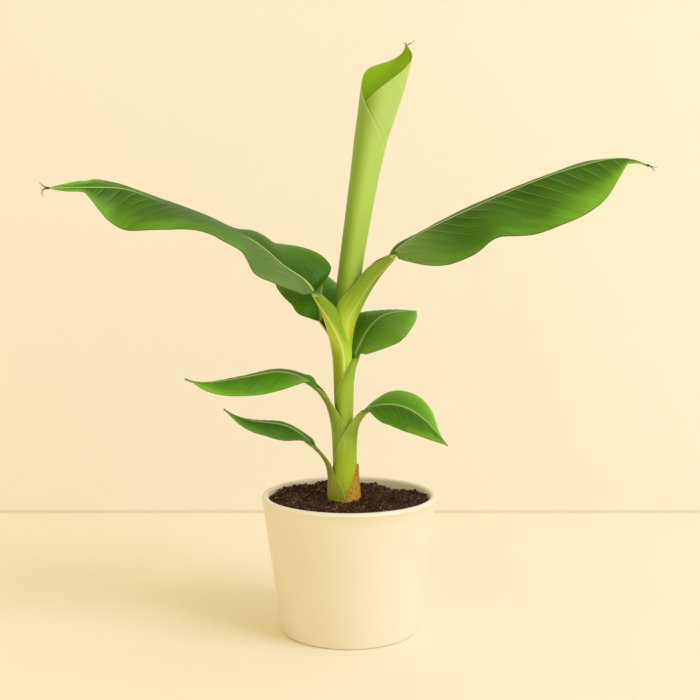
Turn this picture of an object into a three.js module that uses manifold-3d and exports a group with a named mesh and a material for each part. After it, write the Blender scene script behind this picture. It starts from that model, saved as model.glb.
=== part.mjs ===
// Young banana plant in a round ceramic pot.
// Millimetres, +Z up. The origin is the centre of the pot's flat underside.
import * as THREE from 'three';
import { mergeVertices } from 'three/addons/utils/BufferGeometryUtils.js';
import Module from 'manifold-3d';

const wasm = await Module();
wasm.setup();

// ---------------------------------------------------------------- driving dimensions

const CLEARANCE = 0.35; // air between two pieces that touch

const POT = {
  height: 141,
  footRadius: 70,
  rimRadius: 90,
  wall: 7,
  floor: 9,
  footChamfer: 2,
  rimSteps: 6, // flats round the rim's half circle
  segments: 36,
};

const SOIL = {
  level: 136,
  shrinkage: 0.6, // the dry soil's top edge stands this far off the pot
};

// Each row of the pseudostem: x, y, z of its centre, then its radius.
const PSEUDOSTEM = {
  rows: [
    [-5, 0, SOIL.level + CLEARANCE, 12],
    [-5, 0, 165, 9.8],
    [-6, 0, 200, 8.8],
    [-6.5, 0, 240, 7.6],
    [-6, 0, 280, 7],
    [-4, 0, 318, 6],
  ],
  grid: [10, 14],
};

// The leaf that is still rolled up. Each row: x, y, z of the centre, the radius, and the angles
// in degrees that its left and right halves turn through, counted from the midrib.
const ROLLED_LEAF = {
  midribFacing: 20,
  wall: 1,
  tuck: 1, // how far the right half dives under the left half at once
  tuckTurn: 60, // the angle it takes to do so
  windingGap: 2.4, // how much further in it lies after a whole turn
  rows: [
    [-3.6, 0, 322, 9.5, 330, 300],
    [-0.8, 0, 352, 12.2, 330, 300],
    [2, 0, 378, 12.2, 330, 300],
    [8.3, 0, 420, 13.2, 330, 300],
    [15.1, 0, 463, 14.6, 330, 300],
    [19.2, 0, 486, 16.1, 330, 285],
    [21.7, 0, 500, 17.1, 285, 270],
    [27.6, 0, 525, 19.6, 228, 190],
    [33, 0, 549, 22.1, 174, 116],
    [37.4, 0, 571, 23.4, 128, 48],
    [40, 0, 583, 23.2, 56, 21],
    [41.3, 0, 594, 17, 8, 5],
  ],
  grid: [13, 16],
};

// A leaf is a petiole and a blade, and angles are in degrees.
// A petiole starts as a sheath round the pseudostem and narrows to a channelled stalk.
// Each of its rows: x, y, z of the centre, outer radius, the compass direction its keel faces,
// the angle from the keel to either edge, and the wall's thickness. "wings" makes its left and
// right wings wider or narrower than that angle says.
// A blade's midrib sets out from its start. Its heading turns evenly from the first value to the
// second, and its pitch above the horizontal is given at even steps of its length.
// Seen along the midrib, the left and right halves of the blade each have a lift, the angle at
// which they leave the midrib, and a curl, the bend from there to the edge, at even steps too.
// Each half starts at its share "from" of the length and is full over the share "base".
const LEAVES = {
  upper_left: {
    petiole: [
      [-7.2, 0.5, 232, 8.6, -78, 116, 1.2],
      [-7.2, 0.4, 253, 9.3, -78, 116, 1.2],
      [-7.1, 0.4, 277, 10.2, -79, 116, 1.2],
      [-8.5, -0.4, 294, 11, -86, 115, 1.3],
      [-13.1, -3.7, 312, 10.5, -102, 116, 1.6],
      [-19.8, -8, 329, 9, -125, 108, 2],
      [-31, -14, 346.5, 6.2, -148, 100, 2.6],
    ],
    start: [-33.6, -16, 344],
    length: 293,
    heading: [200, 207],
    pitch: [71, 33, 42, 31, 24, 20, 17, 20, 1, -2, -3],
    halfWidth: 56,
    tipStart: 0.58,
    tipEnd: 0.89,
    tipBluntness: 0.55,
    dripTip: 0.14,
    join: 0.04,
    left: {
      from: 0.02,
      base: 0.24,
      bluntness: 0.65,
      lift: [-44, -13, -13, -16, -4, -1, -2, -11, -33, -49, -24, -81],
      curl: [-30, -40, -40, -40, -20],
    },
    right: {
      from: 0,
      base: 0.18,
      bluntness: 0.5,
      tipBluntness: 1,
      lift: [90, 53, 40, 36, 18, 18, 17, 17, 17, 30, 64, 90],
      curl: [0, -30, -40, -30, -20, -20, -20],
    },
    grid: [17, 8],
  },
  upper_right: {
    petiole: [
      [-7, 0.6, 232, 7.4, -60, 84, 1.2],
      [-6.8, 0.6, 258, 8.1, -60, 84, 1.2],
      [-6.2, 0.8, 289, 8.7, -64, 84, 1.2],
      [-5.2, -0.1, 316, 11.4, -73, 97, 1.3],
      [-0.4, -0.9, 337, 14.4, -58, 76, 1.4],
      [10.8, -7.1, 354.8, 12.5, -51, 62, 1.7],
      [23.9, -8.5, 371.3, 10.5, -39, 80, 2.1],
      [41.3, -16.1, 384.4, 5.1, -40, 87, 2.6],
    ],
    wings: [2.05, 1],
    start: [38.4, -14, 382.5],
    length: 275,
    heading: [-21, -21],
    pitch: [47, 29, 24, 23, 21, 16, 8, -31],
    halfWidth: 58,
    tipStart: 0.6,
    tipEnd: 0.93,
    tipBluntness: 0.55,
    dripTip: 0.1,
    join: 0.04,
    left: {
      from: 0,
      base: 0.3,
      bluntness: 1,
      lift: [61, 22, 19, 21, 19, 16, 14, 16, 4, -4],
      curl: [-30, -40, -40, -30, -20, -20],
    },
    right: {
      from: 0.02,
      base: 0.24,
      bluntness: 0.65,
      lift: [-14, -19, -27, -29, -21, -37, -39, -46, -52, -43],
      curl: [-40, -50, -50, -50, -20],
    },
    grid: [17, 8],
  },
  back: {
    petiole: [
      [-6.5, 0.5, 262, 8.4, 120, 100, 1.2],
      [-8, 1.5, 288, 8.4, 116, 95, 1.3],
      [-18, 5, 306, 5, 108, 95, 1.8],
      [-29, 8, 319, 3.6, 96, 105, 2.1],
    ],
    start: [-30, 8, 322],
    length: 167,
    heading: [87, 94],
    pitch: [65, 33, 2, -19, -41],
    halfWidth: 48,
    tipStart: 0.5,
    tipEnd: 1,
    tipBluntness: 0.7,
    dripTip: 0,
    join: 0.05,
    left: {
      from: 0,
      base: 0.25,
      bluntness: 0.5,
      lift: [32, 21, 3, -5, -10, -12],
      curl: [-20, -30, -30, -20],
    },
    right: {
      from: 0,
      base: 0.25,
      bluntness: 0.5,
      lift: [40, 10, -24, -33, -19, -20],
      curl: [-20, -30, -30, -20],
    },
    grid: [12, 6],
  },
  mid_right: {
    petiole: [
      [-6.3, 0.8, 204, 9.7, -25, 127, 1.2],
      [-6.2, 0.6, 226, 10.4, -25, 127, 1.2],
      [-6.1, 0, 247, 10.9, -26, 108, 1.2],
      [-5.2, -1.2, 260, 10.5, -21, 85, 1.3],
      [-1.8, -1.5, 271, 8.6, -8, 75, 1.5],
      [4, 5, 279, 5.6, 10, 80, 2],
    ],
    wings: [0.6, 1],
    start: [5, 8, 281],
    length: 119,
    heading: [47, 49],
    pitch: [56, 51, 31, 8, 0, -5],
    halfWidth: 37,
    tipStart: 0.3,
    tipEnd: 1,
    tipBluntness: 0.77,
    dripTip: 0,
    join: 0.05,
    left: {
      from: 0,
      base: 0.3,
      bluntness: 0.5,
      lift: [56, 39, 24, 15, 11, 6],
      curl: [-10, -30, -30, -20],
    },
    right: {
      from: 0,
      base: 0.36,
      bluntness: 1.1,
      lift: [-24, -15, -17, -34, -36, -30],
      curl: [-20, -30, -30, -34],
    },
    grid: [12, 6],
  },
  lower_left: {
    petiole: [
      [-6, 0.6, 162, 10.6, -160, 122, 1.2],
      [-6, 0.6, 184, 11.2, -160, 122, 1.2],
      [-8, -1.2, 209, 10.4, -166, 112, 1.2],
      [-12, -4.2, 224, 8.7, -172, 102, 1.5],
      [-18.3, -7.5, 237, 6.5, -176, 96, 2.1],
      [-26, -11, 248, 5.2, -182, 100, 2.2],
      [-31.5, -13.5, 253.5, 4.8, -185, 105, 2.2],
    ],
    wings: [1, 0.85],
    start: [-32, -14, 255],
    length: 138,
    heading: [199, 193],
    pitch: [33, 19, -7, -8, -4, 26],
    halfWidth: 25,
    tipStart: 0.45,
    tipEnd: 0.95,
    tipBluntness: 0.65,
    dripTip: 0.1,
    join: 0.1,
    left: {
      from: 0.04,
      base: 0.3,
      bluntness: 0.8,
      lift: [25, -14, -30, -29, -24, -2],
      curl: [-20, -30, -30, -20],
    },
    right: {
      from: 0,
      base: 0.34,
      bluntness: 0.85,
      lift: [32, 18, 9, 5, 2, -1],
      curl: [-10, -30, -30, -20],
    },
    grid: [12, 6],
  },
  lower_right: {
    petiole: [
      [-5.4, -0.5, 130, 15.6, -38, 138, 1.2],
      [-5.4, -0.8, 150, 14.2, -37, 136, 1.2],
      [-5.3, -1, 172, 13.3, -31, 124, 1.2],
      [-4.3, -2.2, 190, 12.2, -28, 106, 1.2],
      [-1, -4, 205, 9.8, -28, 93, 1.4],
      [5, -8, 218, 6.6, -26, 94, 1.9],
      [13.4, -11.8, 228, 4.6, -28, 108, 2.2],
    ],
    wings: [0.7, 1],
    start: [14, -12, 230],
    length: 105,
    heading: [-20, -29],
    pitch: [26, 9, -11, -32, -45, -43],
    halfWidth: 31,
    tipStart: 0.45,
    tipEnd: 1,
    tipBluntness: 0.75,
    dripTip: 0,
    join: 0.08,
    left: {
      from: 0,
      base: 0.3,
      bluntness: 0.7,
      lift: [8, 27, 27, 13, -7, -32],
      curl: [0, -20, -20, -10],
    },
    right: {
      from: 0.03,
      base: 0.32,
      bluntness: 0.8,
      lift: [14, -9, -15, -15, -5, 9],
      curl: [-20, -30, -30, -20],
    },
    grid: [12, 6],
  },
  lowest_left: {
    petiole: [
      [-5.6, 0, 130, 17.4, -153, 76, 1.2],
      [-5.6, 0, 139, 17.2, -153, 69, 1.2],
      [-6.2, 0, 152, 16.3, -155, 57, 1.2],
      [-12.4, -3, 163, 10.4, -155, 52, 1.5],
      [-19.2, -8, 174.6, 5.6, -157, 74, 1.8],
      [-27.6, -12, 185.5, 3.2, -164, 98, 1.6],
      [-33.3, -14.6, 191.5, 3, -166, 108, 1.5],
    ],
    start: [-34, -15, 193],
    length: 106,
    heading: [203, 196],
    pitch: [44, 35, 9, 16, 39],
    halfWidth: 19,
    tipStart: 0.45,
    tipEnd: 1,
    tipBluntness: 0.75,
    dripTip: 0,
    join: 0.1,
    left: {
      from: 0.05,
      base: 0.3,
      bluntness: 0.8,
      lift: [15, -9, -36, -27, -21, -1],
      curl: [-20, -30, -30, -20],
    },
    right: {
      from: 0,
      base: 0.34,
      bluntness: 0.85,
      lift: [41, 24, 16, 9, 3, -2],
      curl: [-10, -30, -30, -20],
    },
    grid: [10, 6],
  },
};

// The withered sheath of a leaf that is gone, at the foot on the right. Rows as in a petiole.
const DRIED_SHEATH = {
  rows: [
    [-5, -0.3, 132, 17.1, -22, 62, 1.2],
    [-5, -0.3, 138, 16.8, -22, 60, 1.2],
    [-5, -0.3, 150, 15.9, -20, 44, 1.2],
    [-5, -0.3, 162, 15, -16, 24, 1.2],
    [-5, -0.3, 172, 14.6, -14, 5, 1.2],
  ],
  grid: [7, 8],
};

// Sheaths wrap each other: the innermost come first.
const WRAPPING_ORDER = [
  'upper_left', 'upper_right', 'back', 'mid_right', 'lower_left', 'lower_right', 'lowest_left',
];

const PETIOLE = {
  edgeThinning: 0.5, // share of the wall's thickness that is lost towards its edges
  grid: [7, 8],
};

const BLADE = {
  edge: 0.9, // thickness at the edge
  rib: 4.2, // depth of the midrib at the blade's base
  ribTip: 1.4,
  ribShare: 0.1, // share of the half-width that the midrib's flank takes
  end: 1.2, // half-width left at either end
  tipPower: 2.1, // how late the outline narrows towards the tip
  tipCrowding: 0.5, // how much closer the rows of the grid stand at the tip
  courseSteps: 200, // steps along the midrib
};

const COLOURS = {
  pot: 0xf0dfba,
  soil: 0x46301d,
  pseudostem: 0x93a83a,
  petiole: 0x9cb437,
  blade: 0x557c27,
  rolledLeaf: 0xaec55b,
  driedSheath: 0xbe9136,
};

// ---------------------------------------------------------------- shared geometry

const radians = THREE.MathUtils.degToRad;

const compass = (turn) => new THREE.Vector3(Math.cos(radians(turn)), Math.sin(radians(turn)), 0);

// A smooth curve through evenly spaced rows of numbers, at a share t of the way.
function spline(rows, t) {
  const last = rows.length - 1;
  const place = THREE.MathUtils.clamp(t, 0, 1) * last;
  const i = Math.min(Math.floor(place), last - 1);
  const w = place - i;
  return rows[0].map((unused, k) => {
    const b = rows[i][k];
    const c = rows[i + 1][k];
    const a = i > 0 ? rows[i - 1][k] : 2 * b - c;
    const d = i + 2 <= last ? rows[i + 2][k] : 2 * c - b;
    const m0 = (c - a) / 2;
    const m1 = (d - b) / 2;
    return ((2 * b - 2 * c + m0 + m1) * w + (3 * c - 3 * b - 2 * m0 - m1)) * w * w + m0 * w + b;
  });
}

const splineAngle = (angles, t) => radians(spline(angles.map((angle) => [angle]), t)[0]);

const splinePoint = (rows, t) => new THREE.Vector3(...spline(rows, t).slice(0, 3));

function geometryFrom(points, faces) {
  const geometry = new THREE.BufferGeometry();
  geometry.setFromPoints(points);
  geometry.setIndex(faces.flat());
  return geometry;
}

// A closed sheet: two grids of points, its front and its back, joined round the edge.
// place(t, across, depth) gives its points, with a depth of 0 at the front and 1 at the back.
function sheet([rows, columns], place) {
  const points = [];
  const faces = [];
  const front = (i, j) => 2 * (i * (columns + 1) + j);
  const back = (i, j) => front(i, j) + 1;
  const quad = (a, b, c, d) => faces.push([a, b, c], [a, c, d]);
  for (let i = 0; i <= rows; i += 1) {
    for (let j = 0; j <= columns; j += 1) {
      points.push(place(i / rows, j / columns, 0), place(i / rows, j / columns, 1));
    }
  }
  for (let i = 0; i < rows; i += 1) {
    for (let j = 0; j < columns; j += 1) {
      quad(front(i, j), front(i + 1, j), front(i + 1, j + 1), front(i, j + 1));
      quad(back(i, j), back(i, j + 1), back(i + 1, j + 1), back(i + 1, j));
    }
    quad(front(i, 0), back(i, 0), back(i + 1, 0), front(i + 1, 0));
    quad(front(i, columns), front(i + 1, columns), back(i + 1, columns), back(i, columns));
  }
  for (let j = 0; j < columns; j += 1) {
    quad(front(0, j), front(0, j + 1), back(0, j + 1), back(0, j));
    quad(front(rows, j), back(rows, j), back(rows, j + 1), front(rows, j + 1));
  }
  return toSolid(geometryFrom(points, faces));
}

// A closed round rod through rows of x, y, z and radius, grown outwards by the given amount.
function rod(rows, [steps, sides], grow) {
  const points = [];
  const faces = [];
  for (let i = 0; i <= steps; i += 1) {
    const [x, y, z, radius] = spline(rows, i / steps);
    for (let j = 0; j < sides; j += 1) {
      const turn = (2 * Math.PI * j) / sides;
      const r = radius + grow;
      points.push(new THREE.Vector3(x + r * Math.cos(turn), y + r * Math.sin(turn), z));
    }
  }
  const bottom = points.push(splinePoint(rows, 0)) - 1;
  const top = points.push(splinePoint(rows, 1)) - 1;
  for (let j = 0; j < sides; j += 1) {
    const next = (j + 1) % sides;
    for (let i = 0; i < steps; i += 1) {
      const [a, b] = [i * sides + j, i * sides + next];
      faces.push([a, b, b + sides], [a, b + sides, a + sides]);
    }
    faces.push([bottom, next, j], [top, steps * sides + j, steps * sides + next]);
  }
  return toSolid(geometryFrom(points, faces));
}

// Whichever way its triangles are wound, the solid comes out with its faces pointing outwards.
function toSolid(geometry) {
  const bare = new THREE.BufferGeometry();
  bare.setAttribute('position', geometry.getAttribute('position'));
  bare.setIndex(geometry.getIndex());
  const welded = mergeVertices(bare, 1e-4);
  const position = welded.getAttribute('position').array;
  const index = welded.getIndex().array;
  const corner = (k) => new THREE.Vector3().fromArray(position, 3 * index[k]);
  let volume = 0;
  for (let k = 0; k < index.length; k += 3) {
    volume += corner(k).dot(corner(k + 1).cross(corner(k + 2)));
  }
  const triVerts = volume > 0 ? Uint32Array.from(index) : Uint32Array.from(index).reverse();
  const vertProperties = Float32Array.from(position);
  return new wasm.Manifold(new wasm.Mesh({ numProp: 3, vertProperties, triVerts }));
}

function toGeometry(solid) {
  const mesh = solid.getMesh();
  const geometry = new THREE.BufferGeometry();
  geometry.setAttribute('position', new THREE.BufferAttribute(mesh.vertProperties, 3));
  geometry.setIndex(new THREE.BufferAttribute(mesh.triVerts, 1));
  geometry.computeVertexNormals();
  return geometry;
}

const largestBody = (solid) =>
  solid.decompose().reduce((best, body) => (body.volume() > best.volume() ? body : best));

const without = (solid, cutters) =>
  largestBody(cutters.reduce((left, cutter) => left.subtract(cutter), solid));

// ---------------------------------------------------------------- pot and soil

function turned(profile) {
  const outline = profile.map(([radius, height]) => new THREE.Vector2(radius, height));
  return toSolid(new THREE.LatheGeometry(outline, POT.segments).rotateX(Math.PI / 2));
}

const outerRadius = (z) => THREE.MathUtils.mapLinear(z, 0, POT.height, POT.footRadius, POT.rimRadius);

function pot() {
  const rim = POT.wall / 2;
  const profile = [
    [0, 0],
    [POT.footRadius - POT.footChamfer, 0],
    [outerRadius(POT.footChamfer), POT.footChamfer],
  ];
  for (let k = 0; k <= POT.rimSteps; k += 1) {
    const turn = (Math.PI * k) / POT.rimSteps;
    profile.push([
      POT.rimRadius - rim + rim * Math.cos(turn),
      POT.height - rim + rim * Math.sin(turn),
    ]);
  }
  profile.push([outerRadius(POT.floor) - POT.wall, POT.floor], [0, POT.floor]);
  return turned(profile);
}

function soil() {
  const gap = POT.wall + CLEARANCE;
  const bottom = POT.floor + CLEARANCE;
  return turned([
    [0, bottom],
    [outerRadius(bottom) - gap, bottom],
    [outerRadius(SOIL.level) - gap - SOIL.shrinkage, SOIL.level],
    [0, SOIL.level],
  ]);
}

// ---------------------------------------------------------------- petioles and sheaths

// The line along the inside of the keel, and the direction its sections stand square to.
function keelPoint(rows, t) {
  const [x, y, z, radius, facing, , wall] = spline(rows, t);
  return new THREE.Vector3(x, y, z).addScaledVector(compass(facing), radius - wall);
}

function keelTangent(rows, t) {
  const step = 0.001;
  const ahead = keelPoint(rows, Math.min(t + step, 1));
  return ahead.sub(keelPoint(rows, Math.max(t - step, 0))).normalize();
}

function keelDirection(rows, t) {
  const outward = compass(spline(rows, t)[4]);
  const tangent = keelTangent(rows, t);
  return outward.addScaledVector(tangent, -outward.dot(tangent)).normalize();
}

function channel(rows, grid, grow, wings = [1, 1]) {
  return sheet(grid, (t, across, depth) => {
    const [x, y, z, radius, , span, wall] = spline(rows, t);
    const tangent = keelTangent(rows, t);
    const keel = keelDirection(rows, t);
    const sideways = new THREE.Vector3().crossVectors(tangent, keel);
    const share = 2 * across - 1;
    const wing = share > 0 ? wings[0] : wings[1];
    const angle = share * (radians(span) * wing + grow / radius);
    const thickness = wall * (1 - PETIOLE.edgeThinning * share ** 2);
    const r = radius + grow - depth * (thickness + 2 * grow);
    return new THREE.Vector3(x, y, z)
      .addScaledVector(keel, r * Math.cos(angle))
      .addScaledVector(sideways, r * Math.sin(angle))
      .addScaledVector(tangent, grow * (2 * t - 1));
  });
}

// ---------------------------------------------------------------- blades

// Share of the full half-width that one half of the blade has at a share s of its length.
function outlineWidth(leaf, half, s) {
  const base = THREE.MathUtils.clamp((s - half.from) / half.base, 0, 1);
  const tip = THREE.MathUtils.clamp((s - leaf.tipStart) / (leaf.tipEnd - leaf.tipStart), 0, 1);
  const rounded = (1 - (1 - base) ** 2) ** half.bluntness;
  const bluntness = half.tipBluntness ?? leaf.tipBluntness;
  const body = rounded * (1 - tip ** BLADE.tipPower) ** bluntness;
  const drip = leaf.dripTip > 0 ? leaf.dripTip * Math.min((1 - s) / (1 - leaf.tipEnd), 1) * base : 0;
  return (body ** 4 + drip ** 4) ** 0.25;
}

// The midrib, worked out step by step from its pitch and heading.
function midribCourse({ start, length, heading, pitch }) {
  const course = [];
  let centre = new THREE.Vector3(...start);
  for (let k = 0; k < BLADE.courseSteps; k += 1) {
    const s = (k + 0.5) / BLADE.courseSteps;
    const turn = radians(THREE.MathUtils.lerp(heading[0], heading[1], s));
    const climb = splineAngle(pitch, s);
    const ahead = new THREE.Vector3(Math.cos(turn), Math.sin(turn), 0);
    const tangent = ahead.multiplyScalar(Math.cos(climb)).setZ(Math.sin(climb));
    const left = new THREE.Vector3(-Math.sin(turn), Math.cos(turn), 0);
    const up = new THREE.Vector3().crossVectors(tangent, left);
    course.push({ centre, left, up });
    centre = centre.clone().addScaledVector(tangent, length / BLADE.courseSteps);
  }
  return course;
}

// The cross-section that a petiole ends with, told in the terms of a blade.
function petioleEnd({ petiole, wings = [1, 1] }) {
  const [x, y, z, radius, , span, wall] = petiole[petiole.length - 1];
  const keel = keelDirection(petiole, 1);
  const inner = radius - wall;
  return {
    centre: new THREE.Vector3(x, y, z).addScaledVector(keel, inner),
    left: new THREE.Vector3().crossVectors(keelTangent(petiole, 1), keel),
    up: keel.clone().negate(),
    curls: wings.map((wing) => radians(span) * wing),
    inner,
    wall,
  };
}

// A blade opens out of the end of its petiole over the share "join" of its length.
function blade(leaf) {
  const { lerp } = THREE.MathUtils;
  const course = midribCourse(leaf);
  const end = petioleEnd(leaf);
  const shift = end.centre.clone().sub(course[0].centre);
  return sheet(leaf.grid, (t, across, depth) => {
    const s = t * (1 + BLADE.tipCrowding * (1 - t));
    const opened = THREE.MathUtils.smoothstep(s, 0, leaf.join);
    const { centre, left, up } = course[Math.round(s * (BLADE.courseSteps - 1))];
    const [side, half, endCurl] = across > 0.5
      ? [-1, leaf.right, end.curls[1]]
      : [1, leaf.left, end.curls[0]];
    const v = Math.abs(1 - 2 * across);
    const lift = splineAngle(half.lift, s) * opened;
    const curl = lerp(endCurl, splineAngle(half.curl, s), opened) - 1e-4; // kept off nothing
    const wing = end.inner * endCurl * (1 - opened);
    const flat = Math.max(leaf.halfWidth * outlineWidth(leaf, half, s), BLADE.end);
    const width = (wing ** 4 + flat ** 4) ** 0.25;
    const slope = lift + curl * v;
    const reach = (width * (Math.sin(slope) - Math.sin(lift))) / curl;
    const rise = (width * (Math.cos(lift) - Math.cos(slope))) / curl;
    const flank = Math.max(1 - v / BLADE.ribShare, 0);
    const rib = lerp(end.wall, lerp(BLADE.rib, BLADE.ribTip, s), opened);
    const under = depth * lerp(BLADE.edge, rib, flank);
    const lean = v > 0 ? slope : 0;
    return centre
      .clone()
      .addScaledVector(shift, 1 - opened)
      .addScaledVector(end.left.clone().lerp(left, opened), side * (reach + under * Math.sin(lean)))
      .addScaledVector(end.up.clone().lerp(up, opened), rise - under * Math.cos(lean));
  });
}

// ---------------------------------------------------------------- rolled leaf

function rolledLeaf() {
  const { rows, grid, midribFacing, wall, tuck, tuckTurn, windingGap } = ROLLED_LEAF;
  return sheet(grid, (t, across, depth) => {
    const [x, y, z, radius, leftTurn, rightTurn] = spline(rows, t);
    const share = 2 * across - 1;
    const turn = share * (share > 0 ? leftTurn : rightTurn);
    const under = Math.max(-turn, 0);
    const sink = tuck * Math.min(under / tuckTurn, 1) + (windingGap * under) / 360;
    const r = radius - sink - depth * wall;
    const angle = radians(midribFacing + turn);
    return new THREE.Vector3(x + r * Math.cos(angle), y + r * Math.sin(angle), z);
  });
}

// ---------------------------------------------------------------- assembly

const plant = new THREE.Group();
plant.name = 'potted_banana_plant';

function addNode(name, solid, colour, roughness) {
  const material = new THREE.MeshStandardMaterial({ color: colour, roughness, metalness: 0 });
  const mesh = new THREE.Mesh(toGeometry(solid), material);
  mesh.name = name;
  plant.add(mesh);
}

const stem = rod(PSEUDOSTEM.rows, PSEUDOSTEM.grid, 0);
addNode('pot', pot(), COLOURS.pot, 0.5);
addNode('soil', soil(), COLOURS.soil, 0.95);
addNode('pseudostem', stem, COLOURS.pseudostem, 0.5);
addNode('rolled_leaf', rolledLeaf(), COLOURS.rolledLeaf, 0.45);

// Each sheath gives way to what it wraps, and each blade to its own petiole.
const grownStem = rod(PSEUDOSTEM.rows, PSEUDOSTEM.grid, CLEARANCE);
const taken = [
  soil().translate([0, 0, CLEARANCE]),
  grownStem,
  grownStem.translate([0, 0, CLEARANCE]),
  rod(ROLLED_LEAF.rows, ROLLED_LEAF.grid, CLEARANCE),
];
for (const name of WRAPPING_ORDER) {
  const { petiole, wings } = LEAVES[name];
  const solid = without(channel(petiole, PETIOLE.grid, 0, wings), taken);
  addNode(`${name}_petiole`, solid, COLOURS.petiole, 0.5);
  taken.push(channel(petiole, PETIOLE.grid, CLEARANCE, wings));
}
const driedSheath = without(channel(DRIED_SHEATH.rows, DRIED_SHEATH.grid, 0), taken);
addNode('dried_sheath', driedSheath, COLOURS.driedSheath, 0.9);
for (const name of WRAPPING_ORDER) {
  addNode(`${name}_blade`, without(blade(LEAVES[name]), taken), COLOURS.blade, 0.45);
}

export default plant;
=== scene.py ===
"""A young banana plant in a round cream pot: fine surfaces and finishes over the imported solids.

Lengths are in millimetres here, and become metres where a mesh is made.
"""
import math

import bpy
import numpy as np
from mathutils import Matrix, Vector


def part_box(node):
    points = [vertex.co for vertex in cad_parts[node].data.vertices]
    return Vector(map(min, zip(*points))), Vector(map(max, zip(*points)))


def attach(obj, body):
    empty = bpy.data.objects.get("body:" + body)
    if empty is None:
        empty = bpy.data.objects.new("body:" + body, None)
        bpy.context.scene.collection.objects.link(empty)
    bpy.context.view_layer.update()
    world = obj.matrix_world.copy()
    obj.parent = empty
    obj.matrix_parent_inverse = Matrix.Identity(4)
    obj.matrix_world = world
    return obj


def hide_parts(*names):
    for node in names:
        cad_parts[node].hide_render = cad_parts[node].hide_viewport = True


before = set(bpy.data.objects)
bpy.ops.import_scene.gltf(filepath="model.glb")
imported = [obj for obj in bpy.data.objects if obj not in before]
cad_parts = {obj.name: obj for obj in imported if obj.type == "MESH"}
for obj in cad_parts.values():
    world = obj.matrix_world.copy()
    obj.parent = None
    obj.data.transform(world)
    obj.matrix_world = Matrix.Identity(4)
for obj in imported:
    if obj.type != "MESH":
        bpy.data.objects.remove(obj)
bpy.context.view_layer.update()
scene = bpy.context.scene
chance = np.random.default_rng(20)

MM = 0.001
POT_BOX = [np.array(corner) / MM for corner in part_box("pot")]

# ------------------------------------------------------------------ sizes of the plant

# The leaf that is still rolled up. Each row: x, y, z of the centre, the radius, and the angles
# in degrees that its left and right halves turn through, counted from the midrib. The right half
# tucks under the left one over the first "tuck_turn" degrees, and lies "winding_gap" deeper for
# each full turn. Its colour holds painted light and shade: paler on the side of the roll that
# faces the key light, and darker away from it; the direction of that side, and the cosines of the
# angle from it over which the painted light comes up, are given after "vein_fall".
ROLLED_LEAF = {
    "midrib_facing": 20,
    "wall": 0.7,
    "tuck": 1.0,
    "tuck_turn": 60,
    "winding_gap": 2.4,
    "vein_fall": 0.9,
    "lit_side": -25,
    "painted_light": (-0.45, 0.8),
    "rows": [
        [-3.6, 0, 322, 9.5, 345, 300],
        [-0.8, 0, 352, 12.2, 345, 300],
        [2, 0, 378, 12.2, 345, 300],
        [8.3, 0, 420, 13.2, 345, 300],
        [15.1, 0, 463, 14.6, 345, 300],
        [19.2, 0, 486, 16.1, 330, 285],
        [21.7, 0, 500, 17.1, 285, 270],
        [27.6, 0, 525, 19.6, 228, 190],
        [33, 0, 549, 22.1, 174, 116],
        [37.4, 0, 571, 23.4, 128, 48],
        [40, 0, 583, 23.2, 56, 21],
        [41.3, 0, 594, 17, 8, 5],
    ],
}
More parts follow.
